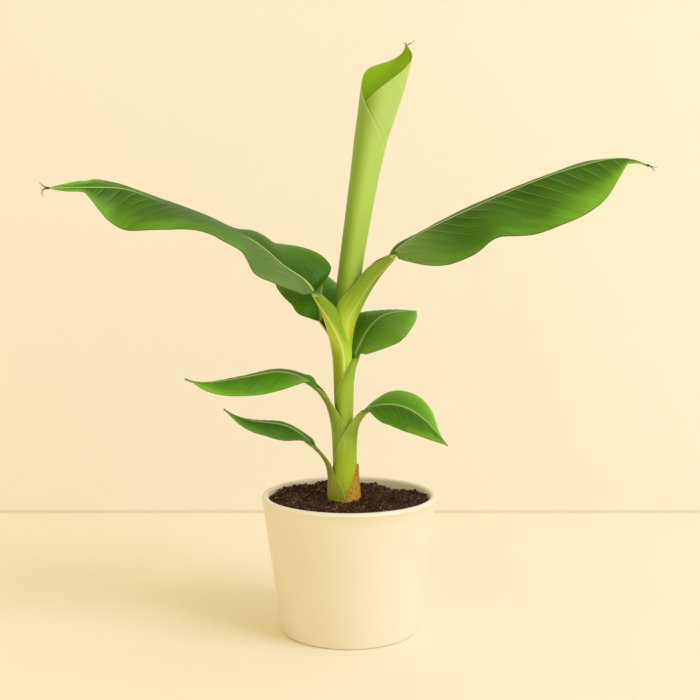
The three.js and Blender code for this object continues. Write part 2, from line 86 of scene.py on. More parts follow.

# A petiole's rows: x, y, z of the centre, outer radius, the compass direction its keel faces,
# the angle from the keel to either edge, and the wall's thickness. "wings" makes its left and
# right wings wider or narrower than that angle says.
# A blade's midrib sets out from its start. Its heading turns evenly from the first value to the
# second, and its pitch is given at even steps of its length. Each half starts at its share
# "from", and reaches its full width over the share "base". Its lift is the angle at which it
# leaves the midrib, and its curl the bend from there to the edge. A half may have its own
# "tip_bluntness". "join" is the share of the blade over which the petiole's channel opens out
# into it. "vein_gap" parts its side veins. "front_half" faces the front of the plant; its base
# takes a painted sheen of grey-green, of a share and over a share of the length. "light" paints
# light and shade on the front and the far half, scaling each one's colour lighter or darker, and
# "crisp" says how clearly the side veins show.
SOFT_CURL = [-20, -30, -30, -20]
LEAVES = {
    "upper_left": {
        "petiole": [
            [-7.2, 0.5, 232, 8.6, -78, 116, 1.2],
            [-7.2, 0.4, 253, 9.3, -78, 116, 1.2],
            [-7.1, 0.4, 277, 10.2, -79, 116, 1.2],
            [-8.5, -0.4, 294, 11, -86, 115, 1.3],
            [-13.1, -3.7, 312, 10.5, -102, 116, 1.6],
            [-19.8, -8, 329, 9, -125, 108, 2],
            [-31, -14, 346.5, 6.2, -148, 100, 2.6],
        ],
        "start": [-33.6, -16, 344], "length": 293, "heading": [200, 207],
        "pitch": [71, 33, 42, 31, 24, 20, 17, 20, 1, -2, -3],
        "half_width": 56, "tip_start": 0.58, "tip_end": 0.89, "tip_bluntness": 0.55,
        "drip_tip": 0.14, "join": 0.04, "ripple": 0.45, "tissue": "mature",
        "vein_gap": 16, "front_half": "left", "painted_sheen": [0.72, 0.65],
        "light": [0.9, 1.08], "crisp": 1,
        "left": {
            "from": 0.02, "base": 0.24, "bluntness": 0.65,
            "lift": [-44, -13, -13, -16, -4, -1, -2, -11, -33, -49, -24, -81],
            "curl": [-30, -40, -40, -40, -20],
        },
        "right": {
            "from": 0, "base": 0.18, "bluntness": 0.5, "tip_bluntness": 1,
            "lift": [90, 53, 40, 36, 18, 18, 17, 17, 17, 30, 64, 90],
            "curl": [0, -30, -40, -30, -20, -20, -20],
        },
    },
    "upper_right": {
        "petiole": [
            [-7, 0.6, 232, 7.4, -60, 84, 1.2],
            [-6.8, 0.6, 258, 8.1, -60, 84, 1.2],
            [-6.2, 0.8, 289, 8.7, -64, 84, 1.2],
            [-5.2, -0.1, 316, 11.4, -73, 97, 1.3],
            [-0.4, -0.9, 337, 14.4, -58, 76, 1.4],
            [10.8, -7.1, 354.8, 12.5, -51, 62, 1.7],
            [23.9, -8.5, 371.3, 10.5, -39, 80, 2.1],
            [41.3, -16.1, 384.4, 5.1, -40, 87, 2.6],
        ],
        "wings": [2.05, 1],
        "start": [38.4, -14, 382.5], "length": 275, "heading": [-21, -21],
        "pitch": [47, 29, 24, 23, 21, 16, 8, -31],
        "half_width": 58, "tip_start": 0.6, "tip_end": 0.93, "tip_bluntness": 0.55,
        "drip_tip": 0.1, "join": 0.04, "ripple": 0.4, "tissue": "mature",
        "vein_gap": 16, "front_half": "right", "painted_sheen": [0.95, 0.33],
        "light": [1.15, 1.05], "crisp": 0.9,
        "left": {
            "from": 0, "base": 0.3, "bluntness": 1,
            "lift": [61, 22, 19, 21, 19, 16, 14, 16, 4, -4], "curl": [-30, -40, -40, -30, -20, -20],
        },
        "right": {
            "from": 0.02, "base": 0.24, "bluntness": 0.65,
            "lift": [-14, -19, -27, -29, -21, -37, -39, -46, -52, -43],
            "curl": [-40, -50, -50, -50, -20],
        },
    },
    "back": {
        "petiole": [
            [-6.5, 0.5, 262, 8.4, 120, 100, 1.2],
            [-8, 1.5, 288, 8.4, 116, 95, 1.3],
            [-18, 5, 306, 5, 108, 95, 1.8],
            [-29, 8, 319, 3.6, 96, 105, 2.1],
        ],
        "start": [-30, 8, 322], "length": 167, "heading": [87, 94],
        "pitch": [65, 33, 2, -19, -41],
        "half_width": 48, "tip_start": 0.5, "tip_end": 1, "tip_bluntness": 0.7,
        "drip_tip": 0, "join": 0.05, "ripple": 0.4, "tissue": "shaded",
        "vein_gap": 14, "front_half": "left", "painted_sheen": [0, 1],
        "light": [0.95, 0.9], "crisp": 0.15,
        "left": {
            "from": 0, "base": 0.25, "bluntness": 0.5,
            "lift": [32, 21, 3, -5, -10, -12], "curl": SOFT_CURL,
        },
        "right": {
            "from": 0, "base": 0.25, "bluntness": 0.5,
            "lift": [40, 10, -24, -33, -19, -20], "curl": SOFT_CURL,
        },
    },
    "mid_right": {
        "petiole": [
            [-6.3, 0.8, 204, 9.7, -25, 127, 1.2],
            [-6.2, 0.6, 226, 10.4, -25, 127, 1.2],
            [-6.1, 0, 247, 10.9, -26, 108, 1.2],
            [-5.2, -1.2, 260, 10.5, -21, 85, 1.3],
            [-1.8, -1.5, 271, 8.6, -8, 75, 1.5],
            [4, 5, 279, 5.6, 10, 80, 2],
        ],
        "wings": [0.6, 1],
        "start": [5, 8, 281], "length": 119, "heading": [47, 49],
        "pitch": [56, 51, 31, 8, 0, -5],
        "half_width": 37, "tip_start": 0.3, "tip_end": 1, "tip_bluntness": 0.77,
        "drip_tip": 0, "join": 0.05, "ripple": 0.3, "tissue": "shaded",
        "vein_gap": 13, "front_half": "right", "painted_sheen": [0.35, 0.8],
        "light": [1.15, 1.1], "crisp": 0.3,
        "left": {
            "from": 0, "base": 0.3, "bluntness": 0.5,
            "lift": [56, 39, 24, 15, 11, 6], "curl": [-10, -30, -30, -20],
        },
        "right": {
            "from": 0, "base": 0.36, "bluntness": 1.1,
            "lift": [-24, -15, -17, -34, -36, -30], "curl": [-20, -30, -30, -34],
        },
    },
    "lower_left": {
        "petiole": [
            [-6, 0.6, 162, 10.6, -160, 122, 1.2],
            [-6, 0.6, 184, 11.2, -160, 122, 1.2],
            [-8, -1.2, 209, 10.4, -166, 112, 1.2],
            [-12, -4.2, 224, 8.7, -172, 102, 1.5],
            [-18.3, -7.5, 237, 6.5, -176, 96, 2.1],
            [-26, -11, 248, 5.2, -182, 100, 2.2],
            [-31.5, -13.5, 253.5, 4.8, -185, 105, 2.2],
        ],
        "wings": [1, 0.85],
        "start": [-32, -14, 255], "length": 138, "heading": [199, 193],
        "pitch": [33, 19, -7, -8, -4, 26],
        "half_width": 25, "tip_start": 0.45, "tip_end": 0.95, "tip_bluntness": 0.65,
        "drip_tip": 0.1, "join": 0.1, "ripple": 0.25, "tissue": "young",
        "vein_gap": 12, "front_half": "left", "painted_sheen": [0.8, 0.3],
        "light": [1.18, 1.08], "crisp": 0.45,
        "left": {
            "from": 0.04, "base": 0.3, "bluntness": 0.8,
            "lift": [25, -14, -30, -29, -24, -2], "curl": SOFT_CURL,
        },
        "right": {
            "from": 0, "base": 0.34, "bluntness": 0.85,
            "lift": [32, 18, 9, 5, 2, -1], "curl": [-10, -30, -30, -20],
        },
    },
    "lower_right": {
        "petiole": [
            [-5.4, -0.5, 130, 15.6, -38, 138, 1.2],
            [-5.4, -0.8, 150, 14.2, -37, 136, 1.2],
            [-5.3, -1, 172, 13.3, -31, 124, 1.2],
            [-4.3, -2.2, 190, 12.2, -28, 106, 1.2],
            [-1, -4, 205, 9.8, -28, 93, 1.4],
            [5, -8, 218, 6.6, -26, 94, 1.9],
            [13.4, -11.8, 228, 4.6, -28, 108, 2.2],
        ],
        "wings": [0.7, 1],
        "start": [14, -12, 230], "length": 105, "heading": [-20, -29],
        "pitch": [26, 9, -11, -32, -45, -43],
        "half_width": 31, "tip_start": 0.45, "tip_end": 1, "tip_bluntness": 0.75,
        "drip_tip": 0, "join": 0.08, "ripple": 0.25, "tissue": "young",
        "vein_gap": 11, "front_half": "right", "painted_sheen": [0.3, 0.2],
        "light": [0.8, 1.65], "crisp": 0.45,
        "left": {
            "from": 0, "base": 0.3, "bluntness": 0.7,
            "lift": [8, 27, 27, 13, -7, -32], "curl": [0, -20, -20, -10],
        },
        "right": {
            "from": 0.03, "base": 0.32, "bluntness": 0.8,
            "lift": [14, -9, -15, -15, -5, 9], "curl": SOFT_CURL,
        },
    },
    "lowest_left": {
        "petiole": [
            [-5.6, 0, 130, 17.4, -153, 76, 1.2],
            [-5.6, 0, 139, 17.2, -153, 69, 1.2],
            [-6.2, 0, 152, 16.3, -155, 57, 1.2],
            [-12.4, -3, 163, 10.4, -155, 52, 1.5],
            [-19.2, -8, 174.6, 5.6, -157, 74, 1.8],
            [-27.6, -12, 185.5, 3.2, -164, 98, 1.6],
            [-33.3, -14.6, 191.5, 3, -166, 108, 1.5],
        ],
        "start": [-34, -15, 193], "length": 106, "heading": [203, 196],
        "pitch": [44, 35, 9, 16, 39],
        "half_width": 19, "tip_start": 0.45, "tip_end": 1, "tip_bluntness": 0.75,
        "drip_tip": 0, "join": 0.1, "ripple": 0.25, "tissue": "young",
        "vein_gap": 10, "front_half": "left", "painted_sheen": [0.3, 0.3],
        "light": [0.7, 0.85], "crisp": 0.4,
        "left": {
            "from": 0.05, "base": 0.3, "bluntness": 0.8,
            "lift": [15, -9, -36, -27, -21, -1], "curl": SOFT_CURL,
        },
        "right": {
            "from": 0, "base": 0.34, "bluntness": 0.85,
            "lift": [41, 24, 16, 9, 3, -2], "curl": [-10, -30, -30, -20],
        },
    },
}

# The withered sheath at the foot, with rows as in a petiole.
DRIED_SHEATH = [
    [-5, -0.3, 132, 17.1, -22, 62, 1.2],
    [-5, -0.3, 138, 16.8, -22, 60, 1.2],
    [-5, -0.3, 150, 15.9, -20, 44, 1.2],
    [-5, -0.3, 162, 15, -16, 24, 1.2],
    [-5, -0.3, 172, 14.6, -14, 5, 1.2],
]
# The stem that the sheaths wrap: x, y, z of the centre and the radius.
INNER_STEM = [
    [-5, 0, 128, 12.4],
    [-5, 0, 165, 9.8],
    [-6, 0, 200, 8.8],
    [-6.5, 0, 240, 7.6],
    [-6, 0, 280, 7],
    [-4, 0, 318, 6],
]

# A blade: the thickness of its edge, the midrib's thickness and half-width at its base and at its
# tip, the least half-width, and how roundly the tip closes. Then the steps along the midrib's
# course, the grid's cell, and its columns on either half.
BLADE = {
    "edge": 0.5, "rib": 4.2, "rib_tip": 1.4, "rib_flank": 3.2, "rib_flank_tip": 1.0,
    "end": 0.8, "tip_power": 2.1, "course_steps": 200, "cell": 1.1, "columns": 36,
}
PETIOLE_STEPS = 80
# Side veins slant and sweep towards the tip. The blade steps up at each of them by the height of
# a pleat, over the share "step" of a gap, but not next to the midrib.
VEINS = {"slant": 0.8, "sweep": 0.012, "pleat": 0.45, "step": 0.06, "rib_margin": 2, "rise": 8}
# Waves of the edge: lengths, and heights as shares of "ripple". They die out towards the midrib.
EDGE_WAVES = [(52, 1.0), (31, 0.5), (17, 0.2)]
EDGE_WAVE_POWER = 2.5
MIDRIB_GROOVE = 0.5  # its depth, and its half-width as a share of the midrib's
MIDRIB_TINT = 0.55  # half-width of the pale band, as a share of the midrib's

# Withered threads at three tips: the steps of each from the tip, and its thickness at the root.
TIP_THREADS = {
    "upper_left": [
        ([[3, 0, 0], [-2, 0, 1.5], [-6, -0.5, 5]], 0.8),
        ([[3, 0, 0], [-2.5, 0, -1], [-4, 0, -4], [-3.2, 0, -7.5]], 0.75),
    ],
    "upper_right": [
        ([[-2, 0, 1], [3, 0, -1.2], [8, 0, -1.5]], 0.55),
        ([[-2, 0, 1], [2, 0, -1.5], [5, 0, -5]], 0.7),
    ],
    "rolled_leaf": [
        ([[0, 0, -1], [-1.5, 0, 1.2], [-3.5, 0, 1.6]], 0.7),
        ([[0, 0, -1], [2, 0, 0.8], [5, 0, 2], [8, 0, 5]], 0.55),
    ],
}
ROLLED_LEAF_TIP = [57.4, 5.5, 594]

RIM_RADIUS = POT_BOX[1][0]
FOOT_RADIUS = RIM_RADIUS * 7 / 9
POT_WALL = 7
POT_FLOOR = 9
SOIL_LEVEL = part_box("soil")[1][2] / MM
SOIL_DEPTH = 30
SOIL_PLAY = 0.4  # air between the soil and the pot
# How much higher the soil lies at the back on the left than on the right, the distances over
# which it rises, and how low its edge turns down over the outer share of the radius.
SOIL_HEAP = {"height": 5.0, "across": 110, "back": 60, "edge_drop": 1.6, "edge": 0.07}
SOIL_WAVES = {"count": 26, "longest": 46, "shortest": 3.2, "height": 0.035, "power": 0.8}
# Crumbs: the mean and spread of their size's logarithm, how uneven and how flat they are, how
# far they stand out of the soil, and how far from the pot's wall they keep. Fibres lie clear of
# the soil and arch over it.
CRUMBS = {
    "count": 8200, "log_size": -0.1, "spread": 0.42, "largest": 2.6, "uneven": (0.55, 1.25),
    "flatness": 0.8, "stand_out": 0.25, "margin": 1.2,
}
CRUMB_TINTS = [
    ("#24150b", 0.3), ("#3f2412", 0.34), ("#57331b", 0.22), ("#774b2b", 0.1), ("#9a6e44", 0.04)]
FIBRES = {
    "count": 46, "shortest": 3, "longest": 9, "half_width": 0.14, "height": 0.16, "bend": 1.2,
    "steps": 8, "clear": 1.3, "arch": 0.8, "margin": 8,
}

# Sizes of the patterns in the finishes, in millimetres. A leaf's fine veins stand about 0.8 mm
# apart, which is too fine to show, so they are drawn coarser: eight to a gap between side veins
# in the blades, and as ROLLED_LEAF_VEIN says in the rolled leaf.
BLADE_CLOUD = 28.6
BLADE_CLOUD_GAPS = 1.82  # its size the other way, in gaps between side veins
STRANDS_PER_GAP = 8.0
ROLLED_LEAF_VEIN = 2.86
STALK_RIB = 0.833
STALK_SPECK = 0.909
DRY_FIBRE = 1.11
SOIL_GRAIN = 2.38
GLAZE_CLOUD = 71.4
GLAZE_RIPPLE = 3.85

# ------------------------------------------------------------------ small tools


def linear(hex_colour):
    """An sRGB hex colour as linear red, green, blue and alpha."""
    channels = [int(hex_colour[i:i + 2], 16) / 255 for i in (1, 3, 5)]
    return [c / 12.92 if c <= 0.04045 else ((c + 0.055) / 1.055) ** 2.4 for c in channels] + [1.0]


def smoothstep(x):
    x = np.clip(x, 0, 1)
    return x * x * (3 - 2 * x)


def spline(rows, t):
    """A smooth curve through evenly spaced keys, numbers or rows of them, at shares t."""
    keys = np.asarray(rows, float)
    padded = np.concatenate([2 * keys[:1] - keys[1:2], keys, 2 * keys[-1:] - keys[-2:-1]])
    place = np.clip(np.asarray(t, float), 0, 1) * (len(keys) - 1)
    i = np.minimum(place.astype(int), len(keys) - 2)
    w = place - i
    if keys.ndim > 1:
        w = w[:, None]
    a, b, c, d = padded[i], padded[i + 1], padded[i + 2], padded[i + 3]
    m0 = (c - a) / 2
    m1 = (d - b) / 2
    return ((2 * b - 2 * c + m0 + m1) * w + (3 * c - 3 * b - 2 * m0 - m1)) * w * w + m0 * w + b


def unit(vectors):
    return vectors / np.maximum(np.linalg.norm(vectors, axis=-1, keepdims=True), 1e-9)


def walked(course):
    """How far along a course of points each of them lies."""
    return np.concatenate([[0], np.cumsum(np.linalg.norm(np.diff(course, axis=0), axis=1))])


def make_mesh(name, points, faces, uvs, materials, face_material=None):
    """A smooth mesh object from points in millimetres, with one UV pair per point and layer."""
    mesh = bpy.data.meshes.new(name)
    mesh.from_pydata((np.asarray(points) * MM).tolist(), [], faces)
    corners = np.empty(len(mesh.loops), dtype=np.int32)
    mesh.loops.foreach_get("vertex_index", corners)
    for layer_name, pairs in uvs.items():
        layer = mesh.uv_layers.new(name=layer_name)
        layer.data.foreach_set("uv", np.asarray(pairs, np.float32)[corners].ravel())
    for material in materials:
        mesh.materials.append(material)
    if face_material is not None:
        mesh.polygons.foreach_set("material_index", np.asarray(face_material, np.int32))
    mesh.shade_smooth()
    mesh.update()
    piece = bpy.data.objects.new(name, mesh)
    scene.collection.objects.link(piece)
    return piece


def finish(piece, node=None):
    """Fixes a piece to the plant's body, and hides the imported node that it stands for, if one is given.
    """
    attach(piece, "root")
    if node:
        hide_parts(node)


def grid_faces(rows, columns, offset=0, flip=False, wrap=False):
    """Quads of a grid of rows x columns points, closed round its columns if wrap is set."""
    i = np.arange(rows - 1)[:, None]
    j = np.arange(columns if wrap else columns - 1)[None, :]
    after = (j + 1) % columns
    quads = [i * columns + j, (i + 1) * columns + j, (i + 1) * columns + after, i * columns + after]
    quads = np.stack(np.broadcast_arrays(*quads), -1).reshape(-1, 4) + offset
    return (quads[:, ::-1] if flip else quads).tolist()


def barrel_faces(rows, columns, offset=0, flip=False):
    """Faces of a grid closed round its columns, with a flat cap at either end."""
    faces = grid_faces(rows, columns, offset, wrap=True)
    last = offset + (rows - 1) * columns
    faces += [list(range(offset, offset + columns)), list(range(last, last + columns))[::-1]]
    return [face[::-1] for face in faces] if flip else faces


def shell(name, top, bottom, uvs, material):
    """A closed thin piece between two grids of points, joined round their border."""
    rows, columns = top.shape[:2]
    count = rows * columns
    faces = grid_faces(rows, columns) + grid_faces(rows, columns, offset=count, flip=True)
    border = [(0, j) for j in range(columns)] + [(i, columns - 1) for i in range(1, rows)]
    border += [(rows - 1, j) for j in range(columns - 2, -1, -1)]
    border += [(i, 0) for i in range(rows - 2, 0, -1)]
    ring = [i * columns + j for i, j in border]
    faces += [[a, b, b + count, a + count] for a, b in zip(ring, ring[1:] + ring[:1])]
    points = np.concatenate([top.reshape(-1, 3), bottom.reshape(-1, 3)])
    doubled = {}
    for layer, (u, v_top, v_bottom) in uvs.items():
        pairs = [np.stack([u.ravel(), v.ravel()], -1) for v in (v_top, v_bottom)]
        doubled[layer] = np.concatenate(pairs)
    piece = make_mesh(name, points, faces, doubled, [material])
    piece.data.set_sharp_from_angle(angle=math.radians(60))
    return piece


def rod(name, course, radii, sides, material, uvs=None):
    """A round rod along a course of points, closed at both ends."""
    ahead = unit(np.gradient(course, axis=0))
    aslant = np.array([0.31, 0.87, 0.38])
    side = unit(np.cross(ahead, aslant))
    up = np.cross(ahead, side)
    turn = np.linspace(0, 2 * math.pi, sides, endpoint=False)
    ring = np.cos(turn)[None, :, None] * side[:, None] + np.sin(turn)[None, :, None] * up[:, None]
    points = course[:, None] + ring * radii[:, None, None]
    return make_mesh(name, points.reshape(-1, 3), barrel_faces(len(course), sides), uvs or {}, [material])


def result(source):
    """The socket that carries a node's result, or the given socket itself."""
    if isinstance(source, bpy.types.Node):
        return next(socket for socket in source.outputs if socket.enabled)
    return source


def add(tree, kind, inputs=None, stops=None, **settings):
    """Adds a shader node with its settings, ramp stops, and values or links for its inputs."""
    made = tree.nodes.new("ShaderNode" + kind)
    for name, value in settings.items():
        setattr(made, name, value)
    if stops:
        ramp = made.color_ramp
        while len(ramp.elements) < len(stops):
            ramp.elements.new(0.5)
        for element, (place, colour) in zip(ramp.elements, stops):
            element.position = place
            element.color = linear(colour)
    for socket, value in (inputs or {}).items():
        if isinstance(value, (bpy.types.Node, bpy.types.NodeSocket)):
            tree.links.new(result(value), made.inputs[socket])
        else:
            made.inputs[socket].default_value = value
    return made


def uv_pair(tree, name):
    """The two numbers of a UV map."""
    split = add(tree, "SeparateXYZ", {0: add(tree, "UVMap", uv_map=name)})
    return split.outputs[0], split.outputs[1]


def new_material(name, roughness, ior=1.45, **sockets):
    """An empty material and its shader, with the values that are the same all over it."""
    material = bpy.data.materials.new(name)
    material.use_nodes = True
    tree = material.node_tree
    shader = tree.nodes["Principled BSDF"]
    shader.inputs["Roughness"].default_value = roughness
    shader.inputs["IOR"].default_value = ior
    for socket, value in sockets.items():
        shader.inputs[socket.replace("_", " ")].default_value = value
    return material, tree, shader


def dress(tree, shader, colour, height, strength, depth):
    """Gives a shader its colour, and a fine relief so many millimetres deep."""
    relief = add(tree, "Bump", {"Height": height, "Strength": strength, "Distance": depth * MM})
    tree.links.new(result(colour), shader.inputs["Base Color"])
    tree.links.new(result(relief), shader.inputs["Normal"])


def plain(name, colour, roughness):
    """Small matter of one even colour."""
    material, _, shader = new_material(name, roughness)
    shader.inputs["Base Color"].default_value = linear(colour)
    return material


# ------------------------------------------------------------------ finishes


def banana_lamina(name, deep, middle, lime, painted_sheen, under, vein, rib):
    """Banana leaf blade: a waxy, satin cuticle over ribbed tissue, so it takes a broad soft sheen.

    The UV map "vein" holds how far along the midrib a side vein starts, counted in gaps between
    veins, and the distance across in millimetres. "place" holds the shares along and across.
    "rib" holds the distance from the midrib over the width of its pale band, and 1 on the
    underside. "tone" holds how much painted sheen shows, and the painted light and shade that makes
    the tissue lighter or darker. "crisp" holds how clearly the side veins show.
    """
    material, tree, shader = new_material(name, 0.45, ior=1.4, Specular_IOR_Level=0.15)
    gaps, _ = uv_pair(tree, "vein")
    along, across = uv_pair(tree, "place")
    from_rib, underside = uv_pair(tree, "rib")
    painted_sheen_share, light = uv_pair(tree, "tone")
    crisp, _ = uv_pair(tree, "crisp")

    # Broad tint: deep green by the midrib, lime towards the edge and the tip.
    wide = add(tree, "Mapping", {
        0: add(tree, "UVMap", uv_map="vein"), "Scale": (1 / BLADE_CLOUD_GAPS, 1 / BLADE_CLOUD, 1)})
    drift = add(tree, "TexNoise", {0: wide, "Scale": 1.0, "Detail": 2.0}, noise_dimensions="2D")
    wander = add(tree, "Math", {0: drift, 1: 0.4, 2: -0.2}, operation="MULTIPLY_ADD")
    tipward = add(tree, "MapRange", {0: along, 1: 0.55, 2: 1.0, 3: 0.0, 4: 0.55})
    edgeward = add(tree, "Math", {0: across, 1: 0.75, 2: tipward}, operation="MULTIPLY_ADD")
    spread = add(tree, "Math", {0: edgeward, 1: wander}, operation="ADD")
    tint = add(tree, "ValToRGB", {0: spread}, stops=[(0.15, deep), (0.6, middle), (1.0, lime)])
    # Painted sheen: a grey-green laid over the front half's base.
    with_painted_sheen = add(tree, "Mix", {0: painted_sheen_share, 6: tint, 7: linear(painted_sheen)}, data_type="RGBA")
    # Painted light and shade: each half's colour is scaled lighter or darker.
    base = add(tree, "VectorMath", {0: with_painted_sheen, 1: light}, operation="MULTIPLY")

    # Fine parallel veins.
    strands = add(tree, "TexNoise", {"W": gaps, "Scale": STRANDS_PER_GAP, "Detail": 3.0},
                  noise_dimensions="1D")
    fine = add(tree, "MapRange", {0: strands, 1: 0.25, 2: 0.75, 3: 0.82, 4: 1.18})
    veined = add(tree, "VectorMath", {0: base, 1: fine}, operation="MULTIPLY")

    # The blade steps up at each side vein: painted shade darkens it towards the step from the base's side.
    within = add(tree, "Math", {0: gaps}, operation="FRACT")
    pleat_shade = add(tree, "MapRange", {0: within, 1: 0.3, 2: 0.97, 3: 0.0, 4: 1.0},
               interpolation_type="SMOOTHSTEP")
    outward = add(tree, "MapRange", {0: across, 1: 0.2, 2: 0.75, 3: 0.3, 4: 0.02})
    fading_pleat_shade = add(tree, "Math", {0: pleat_shade, 1: outward}, operation="MULTIPLY")
    shaded = add(tree, "Math", {0: fading_pleat_shade, 1: crisp}, operation="MULTIPLY")
    shade = add(tree, "Math", {0: 1.0, 1: shaded}, operation="SUBTRACT")
    stepped = add(tree, "VectorMath", {0: veined, 1: shade}, operation="MULTIPLY")

    # A pale line marks each side vein, and fades out before the edge.
    unfolded = add(tree, "Math", {0: gaps, 1: 0.5}, operation="PINGPONG")
    line = add(tree, "MapRange", {0: unfolded, 1: 0.008, 2: 0.04, 3: 1.0, 4: 0.0},
               interpolation_type="SMOOTHSTEP")
    fade = add(tree, "MapRange", {0: across, 1: 0.25, 2: 0.72, 3: 0.7, 4: 0.0})
    faded = add(tree, "Math", {0: line, 1: fade}, operation="MULTIPLY")
    share = add(tree, "Math", {0: faded, 1: crisp}, operation="MULTIPLY")
    lined = add(tree, "Mix", {0: share, 6: stepped, 7: linear(vein)}, data_type="RGBA")

    # The underside is paler, with a bloom of wax.
    turned = add(tree, "Mix", {0: underside, 6: lined, 7: linear(under)}, data_type="RGBA")
    # The midrib is a pale band, and the margin a thin dry brown line.
    band = add(tree, "MapRange", {0: from_rib, 1: 0.7, 2: 1.1, 3: 0.92, 4: 0.0},
               interpolation_type="SMOOTHSTEP")
    ribbed = add(tree, "Mix", {0: band, 6: turned, 7: linear(rib)}, data_type="RGBA")
    rim = add(tree, "MapRange", {0: across, 1: 0.976, 2: 0.99, 3: 0.0, 4: 0.75})
    edged = add(tree, "Mix", {0: rim, 6: ribbed, 7: linear("#5e5a1a")}, data_type="RGBA")
    dress(tree, shader, edged, strands, 0.3, 0.4)
    return material


def banana_sheath(name, lengthwise, low, high, keel, keel_share, specks=0.0):
    """Petiole and leaf sheath: smooth fleshy stalk, finely ribbed lengthwise, with a waxy sheen.

    The UV map "run" holds the distances along and across in millimetres, and "place" the shares
    along and across, with the latter 0 at the left edge and 1 at the right. "inside" holds 1 on
    the channel's inner side, which is darkened with painted shade. The tints across the stalk are
    partly its own hues and partly painted light and shade, darker on a flank turned from the light
    and in places paler along the keel; they change from low to high up the stalk.
    """
    material, tree, shader = new_material(name, 0.42, ior=1.4, Specular_IOR_Level=0.2)
    run = add(tree, "UVMap", uv_map="run")
    along, across = uv_pair(tree, "place")
    _, inside = uv_pair(tree, "inside")
    tint = add(tree, "ValToRGB", {0: along}, stops=lengthwise)
    # Across the stalk: its own hues, with painted shade on a flank turned from the light and, in places,
    # painted light along the keel.
    flank_low = add(tree, "ValToRGB", {0: across}, stops=low)
    flank_high = add(tree, "ValToRGB", {0: across}, stops=high)
    up = add(tree, "MapRange", {0: along, 1: 0.38, 2: 0.65, 3: 0.0, 4: 1.0},
             interpolation_type="SMOOTHSTEP")
    flank = add(tree, "Mix", {0: up, 6: flank_low, 7: flank_high}, data_type="RGBA")
    both = add(tree, "VectorMath", {0: tint, 1: flank}, operation="MULTIPLY")

    # Ribs run lengthwise, stretched fifty times along.
    stretch = add(tree, "Mapping", {0: run, "Scale": (0.02, 1.0, 1.0)})
    ribs = add(tree, "TexNoise", {0: stretch, "Scale": 1 / STALK_RIB, "Detail": 3.0},
               noise_dimensions="2D")
    shade = add(tree, "MapRange", {0: ribs, 1: 0.3, 2: 0.7, 3: 0.9, 4: 1.1})
    ribbed = add(tree, "VectorMath", {0: both, 1: shade}, operation="MULTIPLY")

    # Brown specks gather where the sheath comes out of the soil.
    dots = add(tree, "TexNoise", {0: run, "Scale": 1 / STALK_SPECK, "Detail": 2.0},
               noise_dimensions="2D")
    foot = add(tree, "MapRange", {0: along, 1: 0.04, 2: 0.3, 3: specks, 4: 0.0})
    patchy = add(tree, "MapRange", {0: dots, 1: 0.44, 2: 0.6, 3: 0.0, 4: 1.0})
    speck = add(tree, "Math", {0: foot, 1: patchy}, operation="MULTIPLY")
    specked = add(tree, "Mix", {0: speck, 6: ribbed, 7: linear("#6a5713")}, data_type="RGBA")

    # The keel catches the light as a pale line, and the thin edges as a paler one: both are painted
    # highlights.
    off_keel = add(tree, "Math", {0: across, 1: 0.5}, operation="SUBTRACT")
    aside = add(tree, "Math", {0: off_keel}, operation="ABSOLUTE")
    ridge = add(tree, "MapRange", {0: aside, 1: 0.0, 2: 0.038, 3: keel_share, 4: 0.0},
                interpolation_type="SMOOTHSTEP")
    keeled = add(tree, "Mix", {0: ridge, 6: specked, 7: linear(keel)}, data_type="RGBA")
    rim = add(tree, "MapRange", {0: aside, 1: 0.474, 2: 0.49, 3: 0.0, 4: 0.85})
    edged = add(tree, "Mix", {0: rim, 6: keeled, 7: linear("#cfd78a")}, data_type="RGBA")
    # Painted shade: the channel's inner side is darkened.
    channel_shade = add(tree, "MapRange", {0: inside, 1: 0.0, 2: 1.0, 3: 1.0, 4: 0.42})
    with_painted_shade = add(tree, "VectorMath", {0: edged, 1: channel_shade}, operation="MULTIPLY")
    dress(tree, shader, with_painted_shade, ribs, 0.3, 0.3)
    return material


